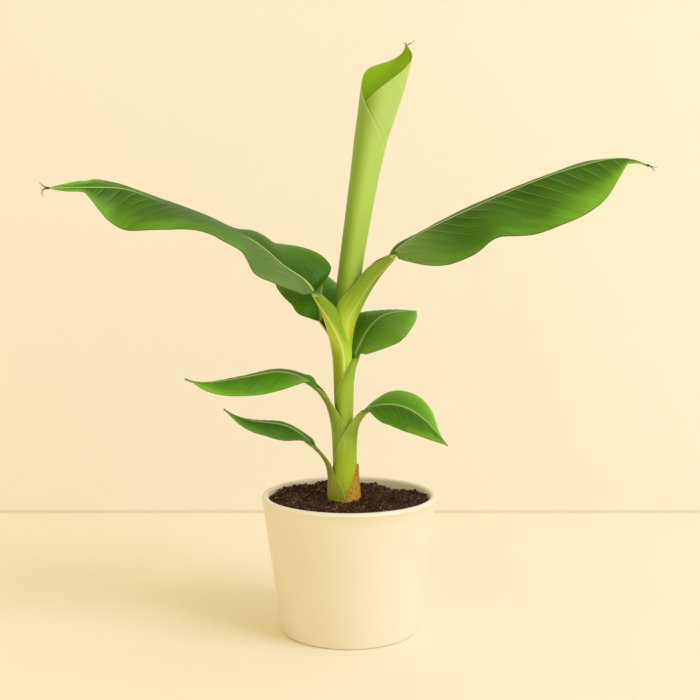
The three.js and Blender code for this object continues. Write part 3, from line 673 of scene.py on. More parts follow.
def unrolled_leaf_underside():
    """Unopened leaf: its pale underside shows, soft and waxy, with fine veins round the roll.

    The UV map "vein" holds the vein's place up the roll and 1 on the inner side, "place" the
    shares along and across, and the third map how far the surface turns towards the key light,
    which is painted in: paler on that side, with painted shade away from it.
    """
    material, tree, shader = new_material(
        "unrolled_leaf_underside", 0.45, ior=1.4, Specular_IOR_Level=0.25)
    up_roll, inside = uv_pair(tree, "vein")
    along, across = uv_pair(tree, "place")
    painted_light, _ = uv_pair(tree, "painted_light")
    height = add(tree, "ValToRGB", {0: along}, stops=[
        (0.0, "#86a228"), (0.14, "#a0be4a"), (0.32, "#bedc66"), (0.65, "#c0dc78"), (1.0, "#bcd868")])
    # Painted light and shade: paler on the roll's side towards the key light, darker away from it.
    side = add(tree, "ValToRGB", {0: painted_light}, stops=[(0.05, "#ccd8ac"), (0.85, "#ffffff")])
    with_painted_shade = add(tree, "VectorMath", {0: height, 1: side}, operation="MULTIPLY")
    grain = add(tree, "TexNoise", {"W": up_roll, "Scale": 1 / ROLLED_LEAF_VEIN, "Detail": 4.0},
                noise_dimensions="1D")
    fine = add(tree, "MapRange", {0: grain, 1: 0.3, 2: 0.7, 3: 0.96, 4: 1.03})
    veined = add(tree, "VectorMath", {0: with_painted_shade, 1: fine}, operation="MULTIPLY")

    # The inner side is a fresher green, with painted shade darkening the crease along the midrib.
    turned = add(tree, "Mix", {0: inside, 6: veined, 7: linear("#a2c826")}, data_type="RGBA")
    crease = add(tree, "MapRange", {0: across, 1: 0.01, 2: 0.06, 3: 0.75, 4: 0.0})
    # Painted shade: only on the inner side, in the crease along the midrib.
    painted_crease_shade = add(tree, "Math", {0: crease, 1: inside}, operation="MULTIPLY")
    creased = add(tree, "Mix", {0: painted_crease_shade, 6: turned, 7: linear("#4c6a12")}, data_type="RGBA")
    rim = add(tree, "MapRange", {0: across, 1: 0.983, 2: 0.992, 3: 0.0, 4: 0.95})
    edged = add(tree, "Mix", {0: rim, 6: creased, 7: linear("#dbe69a")}, data_type="RGBA")
    dress(tree, shader, edged, grain, 0.15, 0.3)
    return material


def dry_sheath_fibre():
    """Withered sheath: dry, papery fibre in straw and rust, quite matt."""
    material, tree, shader = new_material("dry_sheath_fibre", 0.85)
    stretch = add(tree, "Mapping", {0: add(tree, "UVMap", uv_map="run"), "Scale": (0.35, 1.0, 1.0)})
    fibre = add(tree, "TexNoise", {0: stretch, "Scale": 1 / DRY_FIBRE, "Detail": 5.0, "Roughness": 0.7},
                noise_dimensions="2D")
    tint = add(tree, "ValToRGB", {0: fibre},
               stops=[(0.3, "#7c5218"), (0.42, "#cc9034"), (0.52, "#f2ba48"), (0.72, "#fcd064")])
    dress(tree, shader, tint, fibre, 0.8, 0.8)
    return material


def moist_potting_soil():
    """Moist peaty potting soil: matt, dark brown, with finer and paler grains mixed in."""
    material, tree, shader = new_material("moist_potting_soil", 0.92)
    where = add(tree, "TexCoord").outputs["Object"]
    grain = add(tree, "TexNoise",
                {0: where, "Scale": 1 / (SOIL_GRAIN * MM), "Detail": 4.0, "Roughness": 0.7})
    tint = add(tree, "ValToRGB", {0: grain},
               stops=[(0.35, "#20120a"), (0.5, "#3d2413"), (0.62, "#573620"), (0.75, "#7a5234")])
    dress(tree, shader, tint, grain, 0.8, 1.2)
    return material


def cream_stoneware_glaze():
    """Glazed stoneware: a smooth satin cream glaze, a little uneven in tone."""
    material, tree, shader = new_material("cream_stoneware_glaze", 0.42, ior=1.5)
    where = add(tree, "TexCoord").outputs["Object"]
    cloud = add(tree, "TexNoise", {0: where, "Scale": 1 / (GLAZE_CLOUD * MM), "Detail": 2.0})
    tint = add(tree, "ValToRGB", {0: cloud}, stops=[(0.3, "#f2e5d0"), (0.7, "#f5ead7")])
    ripple = add(tree, "TexNoise", {0: where, "Scale": 1 / (GLAZE_RIPPLE * MM), "Detail": 2.0})
    dress(tree, shader, tint, ripple, 0.04, 0.4)
    return material


TISSUES = {
    "mature": banana_lamina(
        "mature_leaf_blade", deep="#345f12", middle="#4a7620", lime="#74aa34", painted_sheen="#7a9550",
        under="#6b8a48", vein="#8db455", rib="#b9d667"),
    "young": banana_lamina(
        "lower_leaf_blade", deep="#427214", middle="#548817", lime="#7ab02a", painted_sheen="#8ea554",
        under="#74914f", vein="#85ae4a", rib="#a3c35c"),
    "shaded": banana_lamina(
        "shaded_leaf_blade", deep="#4b7d0d", middle="#5c8f17", lime="#74a436", painted_sheen="#84a14c",
        under="#5f8030", vein="#7ba442", rib="#9bbb5a"),
}
EVEN = [(0.0, "#ffffff"), (1.0, "#ffffff")]
# Painted shade darkens the right flank of the mid-right stalk.
MID_RIGHT_FLANK_SHADE = [(0.45, "#ffffff"), (0.75, "#f0f4dc"), (1.0, "#c2cfa4")]
# Each stalk's second and third ramps, across it low and high up, hold painted light and shade over its own
# hues.
SHEATHS = {
    "upper_left": banana_sheath(
        "upper_left_stalk",
        [(0.1, "#a6c832"), (0.35, "#bce040"), (0.6, "#cce056"), (1.0, "#b6c05e")],
        [(0.0, "#ffffff"), (0.5, "#ffffff"), (0.62, "#d0c8a0"), (1.0, "#c0b894")],
        [(0.0, "#b2cf84"), (0.4, "#bcd88e"), (0.5, "#fcfed0"), (1.0, "#f2f2c0")],
        "#eef4a8", 0.75),
    "upper_right": banana_sheath(
        "upper_right_stalk",
        [(0.2, "#c8e24a"), (0.42, "#cbe650"), (0.58, "#a8c83f"), (0.78, "#88a437"), (1.0, "#a3b04c")],
        [(0.0, "#c2b88e"), (0.42, "#ece4b8"), (0.5, "#ffffff"), (1.0, "#d6deb8")],
        [(0.0, "#d2cc9c"), (0.42, "#f6f6d0"), (0.5, "#ffffff"), (1.0, "#e2e8cc")],
        "#dfe890", 0.35),
    "mid_right": banana_sheath(
        "mid_right_stalk", [(0.0, "#a8c63c"), (0.5, "#b4d24e"), (1.0, "#96ae3c")],
        MID_RIGHT_FLANK_SHADE, MID_RIGHT_FLANK_SHADE, "#c8dc70", 0.2),
    "back": banana_sheath(
        "back_stalk", [(0.0, "#8da538"), (1.0, "#7f9440")], EVEN, EVEN, "#a9b95a", 0.2),
    "lower_left": banana_sheath(
        "lower_left_stalk",
        [(0.0, "#88a831"), (0.4, "#93ad3c"), (0.75, "#8a9a3c"), (1.0, "#8a9648")],
        EVEN, EVEN, "#b3bf62", 0.35),
    "lower_right": banana_sheath(
        "lower_right_stalk",
        [(0.0, "#e0e044"), (0.2, "#e0f84e"), (0.42, "#d0f054"), (0.68, "#9eba44"), (0.85, "#a8be4c"),
         (1.0, "#a3b355")],
        [(0.35, "#ffffff"), (0.55, "#f0f2da"), (0.85, "#c8d0ac"), (1.0, "#a8b488")],
        EVEN, "#c4d86a", 0.15, specks=1.0),
    "lowest_left": banana_sheath(
        "lowest_left_stalk",
        [(0.0, "#b4a428"), (0.22, "#a2b032"), (0.55, "#929e38"), (1.0, "#848e46")],
        EVEN, EVEN, "#b2b765", 0.35, specks=1.0),
}
WITHERED = plain("withered_brown_thread", "#3a2e1c", 0.8)


# ------------------------------------------------------------------ leaves


def outline_width(leaf, half, s):
    """Share of the full half-width that one half of the blade has at shares s of its length."""
    base = np.clip((s - half["from"]) / half["base"], 0, 1)
    tip = np.clip((s - leaf["tip_start"]) / (leaf["tip_end"] - leaf["tip_start"]), 0, 1)
    rounded = (1 - (1 - base) ** 2) ** half["bluntness"]
    tip_bluntness = half.get("tip_bluntness", leaf["tip_bluntness"])
    body = rounded * (1 - tip ** BLADE["tip_power"]) ** tip_bluntness
    drip = 0 * s
    if leaf["drip_tip"] > 0:
        drip = leaf["drip_tip"] * np.minimum((1 - s) / (1 - leaf["tip_end"]), 1) * base
    return (body ** 4 + drip ** 4) ** 0.25


def midrib_course(leaf, s):
    """The midrib's points and its left and up directions at shares s of its length."""
    steps = BLADE["course_steps"]
    middle = (np.arange(steps) + 0.5) / steps

    def directions(share):
        turn = np.radians(leaf["heading"][0] + (leaf["heading"][1] - leaf["heading"][0]) * share)
        climb = np.radians(spline(leaf["pitch"], share))
        ahead = np.stack([np.cos(climb) * np.cos(turn), np.cos(climb) * np.sin(turn), np.sin(climb)], -1)
        return ahead, np.stack([-np.sin(turn), np.cos(turn), 0 * turn], -1)

    course = np.cumsum(directions(middle)[0], 0) * leaf["length"] / steps
    course = np.concatenate([[leaf["start"]], leaf["start"] + course])
    ends = np.arange(steps + 1) / steps
    centre = np.stack([np.interp(s, ends, course[:, k]) for k in range(3)], -1)
    ahead, left = directions(s)
    return centre, left, np.cross(ahead, left)


def channel_strip(rows, steps, wings=(1, 1)):
    """Cross-sections of a petiole's channel, described in the same terms as a blade's."""
    t = np.linspace(0, 1, steps)
    x = spline(rows, t)
    centre, radius, span, wall = x[:, :3], x[:, 3], x[:, 5], x[:, 6]
    facing = np.radians(x[:, 4])
    outward = np.stack([np.cos(facing), np.sin(facing), 0 * facing], -1)
    inner = radius - wall
    ahead = unit(np.gradient(centre + outward * inner[:, None], axis=0))
    keel = unit(outward - (outward * ahead).sum(-1, keepdims=True) * ahead)
    bend = np.radians(span)[:, None] * np.asarray(wings)
    return {
        "point": centre + keel * inner[:, None],
        "left": np.cross(ahead, keel),
        "up": -keel,
        "width": inner[:, None] * bend,
        "lift": 0 * bend,
        "curl": bend,
        "thick": wall,
        "edge": np.maximum(0.35 * wall, 0.4),
        "flank": inner * bend.mean(-1),
        "flat": 0 * t,
        "share": t,
    }


def blade_strip(leaf, steps):
    """Cross-sections of a blade: how wide each half is, how it lifts and curls, how thick it is."""
    s = np.linspace(0, 1, steps)
    centre, left, up = midrib_course(leaf, s)
    halves = [leaf["left"], leaf["right"]]
    width = leaf["half_width"] * np.stack([outline_width(leaf, half, s) for half in halves], -1)
    return {
        "point": centre,
        "left": left,
        "up": up,
        "width": np.maximum(width, BLADE["end"]),
        "lift": np.radians(np.stack([spline(half["lift"], s) for half in halves], -1)),
        "curl": np.radians(np.stack([spline(half["curl"], s) for half in halves], -1)),
        "thick": BLADE["rib"] + (BLADE["rib_tip"] - BLADE["rib"]) * s,
        "edge": np.full(steps, BLADE["edge"]),
        "flank": BLADE["rib_flank"] + (BLADE["rib_flank_tip"] - BLADE["rib_flank"]) * s,
        "flat": np.ones(steps),
        "share": s,
    }


def joined(petiole, blade, leaf):
    """The blade's cross-sections, opening out of the petiole's last one over the join."""
    opened = smoothstep(blade["share"] / leaf["join"])
    made = dict(blade)
    for key in ("thick", "edge", "flank", "flat"):
        made[key] = petiole[key][-1] + (blade[key] - petiole[key][-1]) * opened
    for key in ("left", "up", "lift", "curl"):
        made[key] = petiole[key][-1] + (blade[key] - petiole[key][-1]) * opened[:, None]
    wing = petiole["width"][-1] * (1 - opened[:, None])
    made["width"] = (wing ** 4 + blade["width"] ** 4) ** 0.25
    made["point"] = blade["point"] + (petiole["point"][-1] - blade["point"][0]) * (1 - opened)[:, None]
    ahead = unit(np.gradient(made["point"], axis=0))
    made["left"] = unit(made["left"] - (made["left"] * ahead).sum(-1, keepdims=True) * ahead)
    made["up"] = np.cross(ahead, made["left"])
    return made


def leaf_strip(leaf):
    """Cross-sections of a whole leaf, and how many of them come before the blade."""
    petiole = channel_strip(leaf["petiole"], PETIOLE_STEPS, leaf.get("wings", (1, 1)))
    blade = joined(petiole, blade_strip(leaf, int(leaf["length"] / BLADE["cell"])), leaf)
    strip = {key: np.concatenate([petiole[key][:-1], blade[key]]) for key in petiole if key != "share"}
    seam = PETIOLE_STEPS - 1
    strip["stalk_share"] = np.concatenate([petiole["share"][:-1], np.ones(len(blade["share"]))])
    strip["blade_share"] = np.concatenate([np.zeros(seam), blade["share"]])
    return strip, seam


def across_shares(columns):
    """Shares across a leaf from its left edge, +1, to its right edge, -1, closer at the edges."""
    u = np.linspace(0, 1, columns // 2 + 1)
    half = 0.35 * u + 0.65 * smoothstep(u)
    return np.concatenate([half[::-1], -half[1:]])


def strip_points(strip, v):
    """Top points of a strip for shares v across it, and how far each lies from the midrib."""
    half = np.where(v >= 0, 0, 1)
    side = np.where(v >= 0, 1.0, -1.0)
    lift = strip["lift"][:, half]
    curl = strip["curl"][:, half]
    curl = np.where(np.abs(curl) < 1e-4, 1e-4, curl)
    width = strip["width"][:, half]
    slope = lift + curl * np.abs(v)
    reach = width * (np.sin(slope) - np.sin(lift)) / curl
    rise = width * (np.cos(lift) - np.cos(slope)) / curl
    points = strip["point"][:, None] + (side * reach)[..., None] * strip["left"][:, None]
    return points + rise[..., None] * strip["up"][:, None], width * np.abs(v)


def strip_normals(strip, points):
    """Normals of a strip's points, on the side that faces up from it."""
    normals = unit(np.cross(np.gradient(points, axis=0), np.gradient(points, axis=1)))
    facing_down = (normals[0] * strip["up"][0]).sum(-1).mean() < 0
    return -normals if facing_down else normals


def leaf_relief(leaf, strip, s, v, w, q):
    """How far a leaf's top stands off its smooth surface: side veins, wavy edge, midrib groove."""
    before_tip = smoothstep((1 - s) * 8)
    # The blade steps up at each side vein and slopes back down to the next.
    within = q % 1
    step = within ** 2 - smoothstep((within - 1 + VEINS["step"]) / VEINS["step"])
    clear_of_rib = smoothstep((w - VEINS["rib_margin"]) / VEINS["rise"])
    within_edge = smoothstep((1 - np.abs(v)) * 3)
    pleat = VEINS["pleat"] * step * clear_of_rib * within_edge
    waves = 0 * w
    for length, size in EDGE_WAVES:
        turns = 2 * math.pi * s * leaf["length"] / length
        for side, phase in zip((1, -1), chance.uniform(0, 2 * math.pi, 2)):
            waves = waves + np.sin(turns + phase) * size * (np.sign(v) == side)
    waves = waves * leaf["ripple"] * np.abs(v) ** EDGE_WAVE_POWER
    groove = MIDRIB_GROOVE * np.exp(-((w / (MIDRIB_GROOVE * strip["flank"][:, None])) ** 2))
    return strip["flat"][:, None] * ((pleat + waves) * before_tip - groove)


def leaf_thickness(strip, v, w):
    """Thickness of a leaf: a midrib and thin halves in the blade, and a rounded petiole."""
    flat = strip["flat"][:, None]
    body = flat * np.exp(-((w / strip["flank"][:, None]) ** 2)) + (1 - flat) * (1 - v ** 2)
    return strip["edge"][:, None] + (strip["thick"] - strip["edge"])[:, None] * body


def stalk_maps(strip, v, w):
    """What the sheath's finish reads: for each map a number, and one more for top and underside."""
    run = walked(strip["point"])[:, None] + 0 * w
    signed = w * np.sign(v)
    share = strip["stalk_share"][:, None] + 0 * w
    across = (1 - v) / 2 + 0 * w
    within_edges = (np.abs(v) < 0.96) + 0 * w
    return {
        "run": (run, signed, signed),
        "place": (share, across, across),
        "inside": (0 * w, within_edges, 0 * w),
    }


def blade_maps(leaf, strip, s, v, w, q):
    """What the blade's finish reads: for each map a number, and one more for top and underside."""
    signed = w * np.sign(v)
    share = np.abs(v) + 0 * w
    # The petiole's pale tissue narrows down into the midrib.
    band = w / (strip["flank"][:, None] * MIDRIB_TINT)
    front_sign = 1 if leaf["front_half"] == "left" else -1
    front = (np.sign(v) == front_sign) * smoothstep(share * 6)
    # Painted sheen over the front half's base, fading out along the length.
    most, over = leaf["painted_sheen"]
    painted_sheen = front * (1 - smoothstep(s / over)) * most
    # Painted light and shade: the front and the far half each scale their colour by their own number.
    front_painted_light, far_painted_light = leaf["light"]
    light = far_painted_light + (front_painted_light - far_painted_light) * front
    # Side veins show least under the painted sheen, on the far half and at the tip.
    crisp = leaf["crisp"] * (1 - 0.8 * painted_sheen) * (0.2 + 0.8 * front) * smoothstep((1 - s) * 5)
    return {
        "vein": (q, signed, signed),
        "place": (s, share, share),
        "rib": (band, 0 * w, 0 * w + 1),
        "tone": (painted_sheen, light, light),
        "crisp": (crisp, 0 * w, 0 * w),
    }


def leaf_with_stalk(name, leaf):
    """A leaf's petiole and blade: one surface, split where the blade starts. Gives the tip."""
    strip, seam = leaf_strip(leaf)
    v = across_shares(2 * BLADE["columns"])
    points, w = strip_points(strip, v)
    normals = strip_normals(strip, points)
    s = strip["blade_share"][:, None] + 0 * w
    # How far along the midrib the side vein through each point leaves it, in gaps of veins.
    q = (s * leaf["length"] - VEINS["slant"] * w - VEINS["sweep"] * w ** 2) / leaf["vein_gap"]
    top = points + normals * leaf_relief(leaf, strip, s, v, w, q)[..., None]
    bottom = top - normals * leaf_thickness(strip, v, w)[..., None]

    pieces = [
        ("_stalk", "petiole", "_petiole", slice(0, seam + 1), stalk_maps(strip, v, w), SHEATHS[name]),
        ("_lamina", "leaf", "_blade", slice(seam, None), blade_maps(leaf, strip, s, v, w, q),
         TISSUES[leaf["tissue"]]),
    ]
    for ending, slot, node_ending, rows, maps, material in pieces:
        uvs = {key: [numbers[rows] for numbers in parts] for key, parts in maps.items()}
        piece = shell(name + ending, top[rows], bottom[rows], uvs, material)
        finish(piece, name + node_ending)
    return points[-1, len(v) // 2]


def tip_threads(name, root, threads):
    """Withered threads at a leaf's tip, each tapering to a quarter of its thickness."""
    t = np.linspace(0, 1, 14)
    for i, (steps, radius) in enumerate(threads):
        course = spline([np.add(root, step) for step in steps], t)
        finish(rod(f"{name}_thread_{i + 1}", course, radius * (1 - 0.75 * t), 8, WITHERED))


# ------------------------------------------------------------------ stem, rolled leaf, sheath


def rolled_leaf():
    """The unopened leaf: a wall wound round a curved, widening axis."""
    spec = ROLLED_LEAF
    steps, columns = 240, 320
    t = np.linspace(0, 1, steps)
    x, y, z, radius, left, right = [column[:, None] for column in spline(spec["rows"], t).T]
    share = np.linspace(-1, 1, columns)
    turn = np.where(share > 0, share * left, share * right)
    under = np.maximum(-turn, 0)
    tuck = spec["tuck"] * np.minimum(under / spec["tuck_turn"], 1)
    outer = radius - tuck - spec["winding_gap"] * under / 360
    angle = np.radians(spec["midrib_facing"] + turn)

    def at(r):
        return np.stack([x + r * np.cos(angle), y + r * np.sin(angle), z + 0 * r], -1)

    # The wall thins out to a third over the last few millimetres before its edges.
    wall = spec["wall"] * (0.35 + 0.65 * smoothstep((1 - np.abs(share)) * 25))
    # Veins sink towards the edges as they go round the roll.
    q = z - spec["vein_fall"] * outer * np.radians(np.abs(turn))
    place = np.abs(share) + 0 * q
    # Painted light and shade: how far each point of the roll turns towards the key light, for the finish
    # to paint paler there and darker away from it.
    towards_light = np.cos(angle - math.radians(spec["lit_side"]))
    shade_end, light_start = spec["painted_light"]
    painted_light = smoothstep((towards_light - shade_end) / (light_start - shade_end))
    uvs = {
        "vein": (q, 0 * q, 0 * q + 1),
        "place": (t[:, None] + 0 * q, place, place),
        "painted_light": (painted_light, 0 * q, 0 * q),
    }
    piece = shell("rolled_young_leaf", at(outer), at(outer - wall), uvs, unrolled_leaf_underside())
    finish(piece, "rolled_leaf")


def dried_sheath():
    """The withered sheath at the foot: a rough, pointed strip that clings to the stem."""
    steps, thickness, roughness, length = 70, 1.1, 0.12, 40
    strip = channel_strip(DRIED_SHEATH, steps)
    v = across_shares(60)
    points, w = strip_points(strip, v)
    uneven = chance.normal(0, roughness, w.shape)
    bottom = points - strip_normals(strip, points) * (thickness + uneven)[..., None]
    run = np.linspace(0, length, steps)[:, None] + 0 * w
    signed = w * np.sign(v)
    piece = shell("withered_sheath", points, bottom, {"run": (run, signed, signed)}, dry_sheath_fibre())
    finish(piece, "dried_sheath")


def inner_stem():
    """The stem within the sheaths, tinted like the left flank of one of them."""
    steps, sides = 60, 48
    t = np.linspace(0, 1, steps)
    rows = spline(INNER_STEM, t)
    course, radii = rows[:, :3], rows[:, 3]
    round_stem = np.linspace(0, 1, sides, endpoint=False)
    along, across = np.meshgrid(walked(course), 2 * math.pi * radii.mean() * round_stem, indexing="ij")
    share, flank = np.meshgrid(t, 0.1 + 0.3 * round_stem, indexing="ij")
    uvs = {
        "run": np.stack([along.ravel(), across.ravel()], -1),
        "place": np.stack([share.ravel(), flank.ravel()], -1),
    }
    finish(rod("inner_stem", course, radii, sides, SHEATHS["mid_right"], uvs), "pseudostem")


# ------------------------------------------------------------------ pot and soil


def lathe(name, profile, segments, material):
    """A piece turned about the upright axis from radii and heights, with flat ends."""
    turn = np.linspace(0, 2 * math.pi, segments, endpoint=False)
    ring = np.stack([np.cos(turn), np.sin(turn)], -1)
    points = np.concatenate([np.column_stack([r * ring, np.full(segments, z)]) for r, z in profile])
    piece = make_mesh(name, points, barrel_faces(len(profile), segments, flip=True), {}, [material])
    piece.data.set_sharp_from_angle(angle=math.radians(40))
    return piece


def arc(centre, radius, start, end, steps):
    turn = np.radians(np.linspace(start, end, steps))
    return [(centre[0] + radius * math.cos(a), centre[1] + radius * math.sin(a)) for a in turn]


def ceramic_pot():
    """The pot: a hollowed foot, tapering walls and a rounded rim."""
    height = POT_BOX[1][2]
    slope = (RIM_RADIUS - FOOT_RADIUS) / height
    lip = POT_WALL / 2
    foot_edge = 2.2
    hollow = [(14, 1.2), (12, 0.3), (10, 0), (3, 0)]
    profile = [(FOOT_RADIUS - inward, z) for inward, z in hollow]
    profile += arc((FOOT_RADIUS - foot_edge, foot_edge), foot_edge, -90, 0, 6)
    profile += [(FOOT_RADIUS + slope * z, z) for z in np.linspace(8, height - lip, 12)]
    profile += arc((RIM_RADIUS - lip, height - lip), lip, 8, 172, 14)
    inside = np.linspace(height - 2 * lip, POT_FLOOR, 8)
    profile += [(FOOT_RADIUS - POT_WALL + slope * z, z) for z in inside]
    finish(lathe("glazed_pot", profile, 180, cream_stoneware_glaze()), "pot")


def soil_waves():
    """The soil's lumps as waves: wave numbers per millimetre, a phase and a height."""
    count = SOIL_WAVES["count"]
    lengths = np.geomspace(SOIL_WAVES["longest"], SOIL_WAVES["shortest"], count)
    turns = chance.uniform(0, math.pi, count)
    phases = chance.uniform(0, 2 * math.pi, count)
    numbers = 2 * math.pi / lengths
    heights = SOIL_WAVES["height"] * lengths ** SOIL_WAVES["power"]
    return list(zip(numbers * np.cos(turns), numbers * np.sin(turns), phases, heights))


def soil_top(x, y, waves):
    """Height of the soil's lumpy surface, which is heaped at the back on the left."""
    leftward = smoothstep(0.5 - x / SOIL_HEAP["across"]) - 0.75
    top = SOIL_LEVEL + SOIL_HEAP["height"] * leftward * smoothstep(y / SOIL_HEAP["back"])
    for kx, ky, phase, height in waves:
        top = top + height * np.sin(kx * x + ky * y + phase)
    return top


def soil_bed(radius, waves):
    """The soil: a lumpy disc that turns down at the pot's wall."""
    rings, segments = 120, 240
    turn = np.linspace(0, 2 * math.pi, segments, endpoint=False)
    r = radius * (np.arange(1, rings + 1) / rings)[:, None]
    x, y = r * np.cos(turn), r * np.sin(turn)
    to_wall = (r / radius - 1) / SOIL_HEAP["edge"] + 1
    z = soil_top(x, y, waves) - SOIL_HEAP["edge_drop"] * smoothstep(to_wall)
    grid = np.stack([x, y, z], -1)
    under = SOIL_LEVEL - SOIL_DEPTH
    foot = np.stack([x[-1] * 0.9, y[-1] * 0.9, 0 * x[-1] + under], -1)
    points = np.concatenate([grid.reshape(-1, 3), foot, [[0, 0, SOIL_LEVEL], [0, 0, under]]])
    faces = grid_faces(rings + 1, segments, wrap=True)
    last = rings * segments
    top_centre = last + segments
    faces += [[top_centre, j, (j + 1) % segments] for j in range(segments)]
    faces += [[top_centre + 1, last + (j + 1) % segments, last + j] for j in range(segments)]
    finish(make_mesh("soil_bed", points, faces, {}, [moist_potting_soil()]), "soil")


def soil_crumbs(radius, waves):
    """Crumbs of soil: rough eight-sided lumps, in plain colours dealt out among them."""
    count = CRUMBS["count"]
    corners = np.array([[1, 0, 0], [-1, 0, 0], [0, 1, 0], [0, -1, 0], [0, 0, 1], [0, 0, -1]], float)
    sides = np.array([
        [0, 2, 4], [2, 1, 4], [1, 3, 4], [3, 0, 4], [2, 0, 5], [1, 2, 5], [3, 1, 5], [0, 3, 5]])
    r = (radius - CRUMBS["margin"]) * np.sqrt(chance.uniform(0, 1, count))
    bearing = chance.uniform(0, 2 * math.pi, count)
    x, y = r * np.cos(bearing), r * np.sin(bearing)
    size = chance.lognormal(CRUMBS["log_size"], CRUMBS["spread"], count)
    size = np.minimum(size, CRUMBS["largest"])
    turns = np.linalg.qr(chance.normal(size=(count, 3, 3)))[0]
    reach = chance.uniform(*CRUMBS["uneven"], (count, len(corners), 1))
    lumps = np.einsum("nij,nkj->nki", turns, corners * size[:, None, None] * reach)
    lumps[..., 2] *= CRUMBS["flatness"]
    z = soil_top(x, y, waves) + CRUMBS["stand_out"] * size
    lumps = lumps + np.stack([x, y, z], -1)[:, None]
    faces = (np.arange(count)[:, None, None] * len(corners) + sides[None]).reshape(-1, 3)
    dealt = chance.choice(len(CRUMB_TINTS), count, p=[share for _, share in CRUMB_TINTS])
    tints = [plain(f"soil_crumb_{i + 1}", colour, 0.95) for i, (colour, _) in enumerate(CRUMB_TINTS)]
    piece = make_mesh(
        "soil_crumbs", lumps.reshape(-1, 3), faces.tolist(), {}, tints, np.repeat(dealt, len(sides)))
    piece.data.shade_flat()
    finish(piece)


def coir_fibres(radius, waves):
    """Pale coir fibres that lie about on the soil, each a bent three-sided sliver."""
    steps, half_width, bend = FIBRES["steps"], FIBRES["half_width"], FIBRES["bend"]
    u = np.linspace(0, 1, steps)
    thin = half_width * (1 - 0.5 * u)[:, None]
    points, faces = [], []
    for length in chance.uniform(FIBRES["shortest"], FIBRES["longest"], FIBRES["count"]):
        r = (radius - FIBRES["margin"]) * math.sqrt(chance.uniform(0.08, 1))
        bearing = chance.uniform(0, 2 * math.pi)
        heading = chance.uniform(0, 2 * math.pi) + chance.uniform(-bend, bend) * u
        x = r * math.cos(bearing) + np.cumsum(np.cos(heading)) * length / steps
        y = r * math.sin(bearing) + np.cumsum(np.sin(heading)) * length / steps
        z = soil_top(x, y, waves) + FIBRES["clear"] + FIBRES["arch"] * np.sin(math.pi * u)
        course = np.stack([x, y, z], -1)
        side = np.stack([-np.sin(heading), np.cos(heading), 0 * u], -1) * thin
        ring = [course + side, course - side * 0.5 + [0, 0, FIBRES["height"]], course - side]
        faces += barrel_faces(steps, len(ring), offset=len(points) * steps * len(ring))
        points.append(np.stack(ring, 1).reshape(-1, 3))
    fibre = plain("pale_coir_fibre", "#a98a63", 0.9)
    finish(make_mesh("coir_fibres", np.concatenate(points), faces, {}, [fibre]))


def pot_of_soil():
    """The pot with its soil, and what lies on it."""
    ceramic_pot()
    waves = soil_waves()
    taper = (RIM_RADIUS - FOOT_RADIUS) * (1 - SOIL_LEVEL / POT_BOX[1][2])
    radius = RIM_RADIUS - POT_WALL - taper - SOIL_PLAY
    soil_bed(radius, waves)
    soil_crumbs(radius, waves)
    coir_fibres(radius, waves)


pot_of_soil()
inner_stem()
rolled_leaf()
tips = {name: leaf_with_stalk(name, leaf) for name, leaf in LEAVES.items()}
tips["rolled_leaf"] = ROLLED_LEAF_TIP
dried_sheath()
for name, threads in TIP_THREADS.items():
    tip_threads(name, tips[name], threads)

# ------------------------------------------------------------------ studio, in metres

FLOOR_REACH, WALL_Y = 4.0, 0.5
# A band of painted shade at the wall's foot: its height, and how far it stands before the wall.
SHADE_BAND_HEIGHT, SHADE_BAND_AHEAD = 0.005, 0.001
AIM_HEIGHT = 0.25

camera = bpy.data.objects.new("camera", bpy.data.cameras.new("camera"))
camera.data.lens = 60
camera.data.sensor_width = 36
camera.location = (0.0007, -1.18, 0.405)
camera.rotation_euler = (math.radians(84.4), 0, 0)
scene.collection.objects.link(camera)
scene.camera = camera


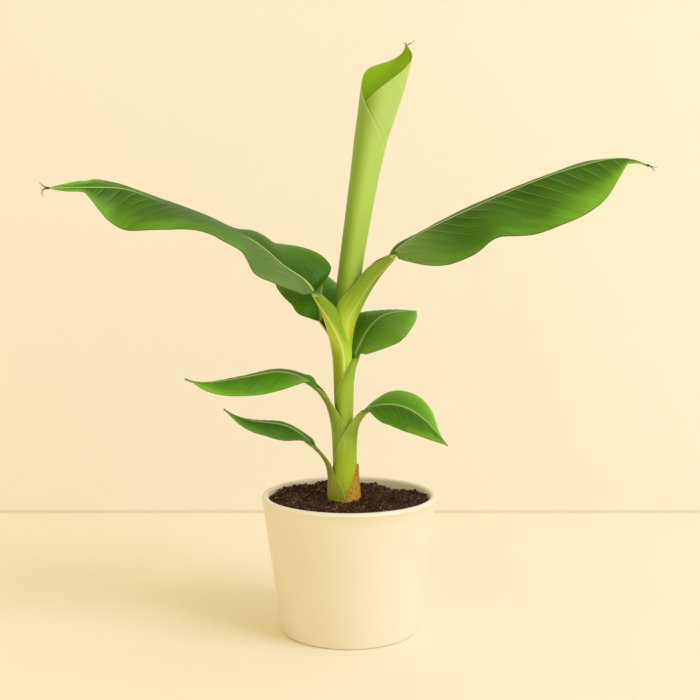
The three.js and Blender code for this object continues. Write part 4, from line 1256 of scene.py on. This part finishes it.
def studio_plane(name, corners, colour, one_sided=False):
    """A plane of the studio. A one-sided one is clear from behind."""
    mesh = bpy.data.meshes.new(name)
    mesh.from_pydata(corners, [], [[0, 1, 2, 3]])
    material, tree, shader = new_material(name, 0.9)
    shader.inputs["Base Color"].default_value = linear(colour)
    if one_sided:
        behind = add(tree, "NewGeometry").outputs["Backfacing"]
        clear = add(tree, "BsdfTransparent")
        mixed = add(tree, "MixShader", {0: behind, 1: shader.outputs[0], 2: clear})
        tree.links.new(result(mixed), tree.nodes["Material Output"].inputs[0])
    mesh.materials.append(material)
    plane = bpy.data.objects.new(name, mesh)
    scene.collection.objects.link(plane)


def upright(y, height):
    """Corners of an upright plane that stands across the studio."""
    return [(-FLOOR_REACH, y, 0), (FLOOR_REACH, y, 0), (FLOOR_REACH, y, height), (-FLOOR_REACH, y, height)]


def softbox(name, azimuth, elevation, distance, size, power, colour):
    """A square lamp aimed at the plant, from an azimuth counted from the front towards the right."""
    light = bpy.data.lights.new(name, "AREA")
    light.size = size
    light.energy = power
    light.color = linear(colour)[:3]
    lamp = bpy.data.objects.new(name, light)
    a, e = math.radians(azimuth), math.radians(elevation)
    away = Vector((math.sin(a) * math.cos(e), -math.cos(a) * math.cos(e), math.sin(e)))
    lamp.location = away * distance + Vector((0, 0, AIM_HEIGHT))
    lamp.rotation_euler = (-away).to_track_quat("-Z", "Y").to_euler()
    scene.collection.objects.link(lamp)


def room_light():
    """Light of the room all round, paler on the side of the softbox."""
    world = bpy.data.worlds.new("pale_studio")
    world.use_nodes = True
    tree = world.node_tree
    around = add(tree, "SeparateXYZ", {0: add(tree, "TexCoord").outputs["Generated"]})
    rightward = add(tree, "MapRange", {0: around, 1: -1.0, 2: 1.0})
    air = add(tree, "Mix", {0: rightward, 6: linear("#e5d79b"), 7: linear("#f8f1d7")}, data_type="RGBA")
    tree.links.new(result(air), tree.nodes["Background"].inputs[0])
    scene.world = world


floor_corners = [(x * FLOOR_REACH, y * FLOOR_REACH, 0) for x, y in ((-1, -1), (1, -1), (1, 1), (-1, 1))]
studio_plane("studio_floor", floor_corners, "#f6ebd4")
studio_plane("studio_wall", upright(WALL_Y, FLOOR_REACH), "#faf2e4", one_sided=True)
# Painted shade: a darker band along the wall's foot, where it meets the floor.
studio_plane("painted_shade_at_wall_foot", upright(WALL_Y - SHADE_BAND_AHEAD, SHADE_BAND_HEIGHT), "#efe3d0", one_sided=True)
softbox("key_softbox", azimuth=58, elevation=42, distance=6.5, size=3.3, power=213, colour="#d2dcff")
room_light()
scene.view_settings.view_transform = "Standard"
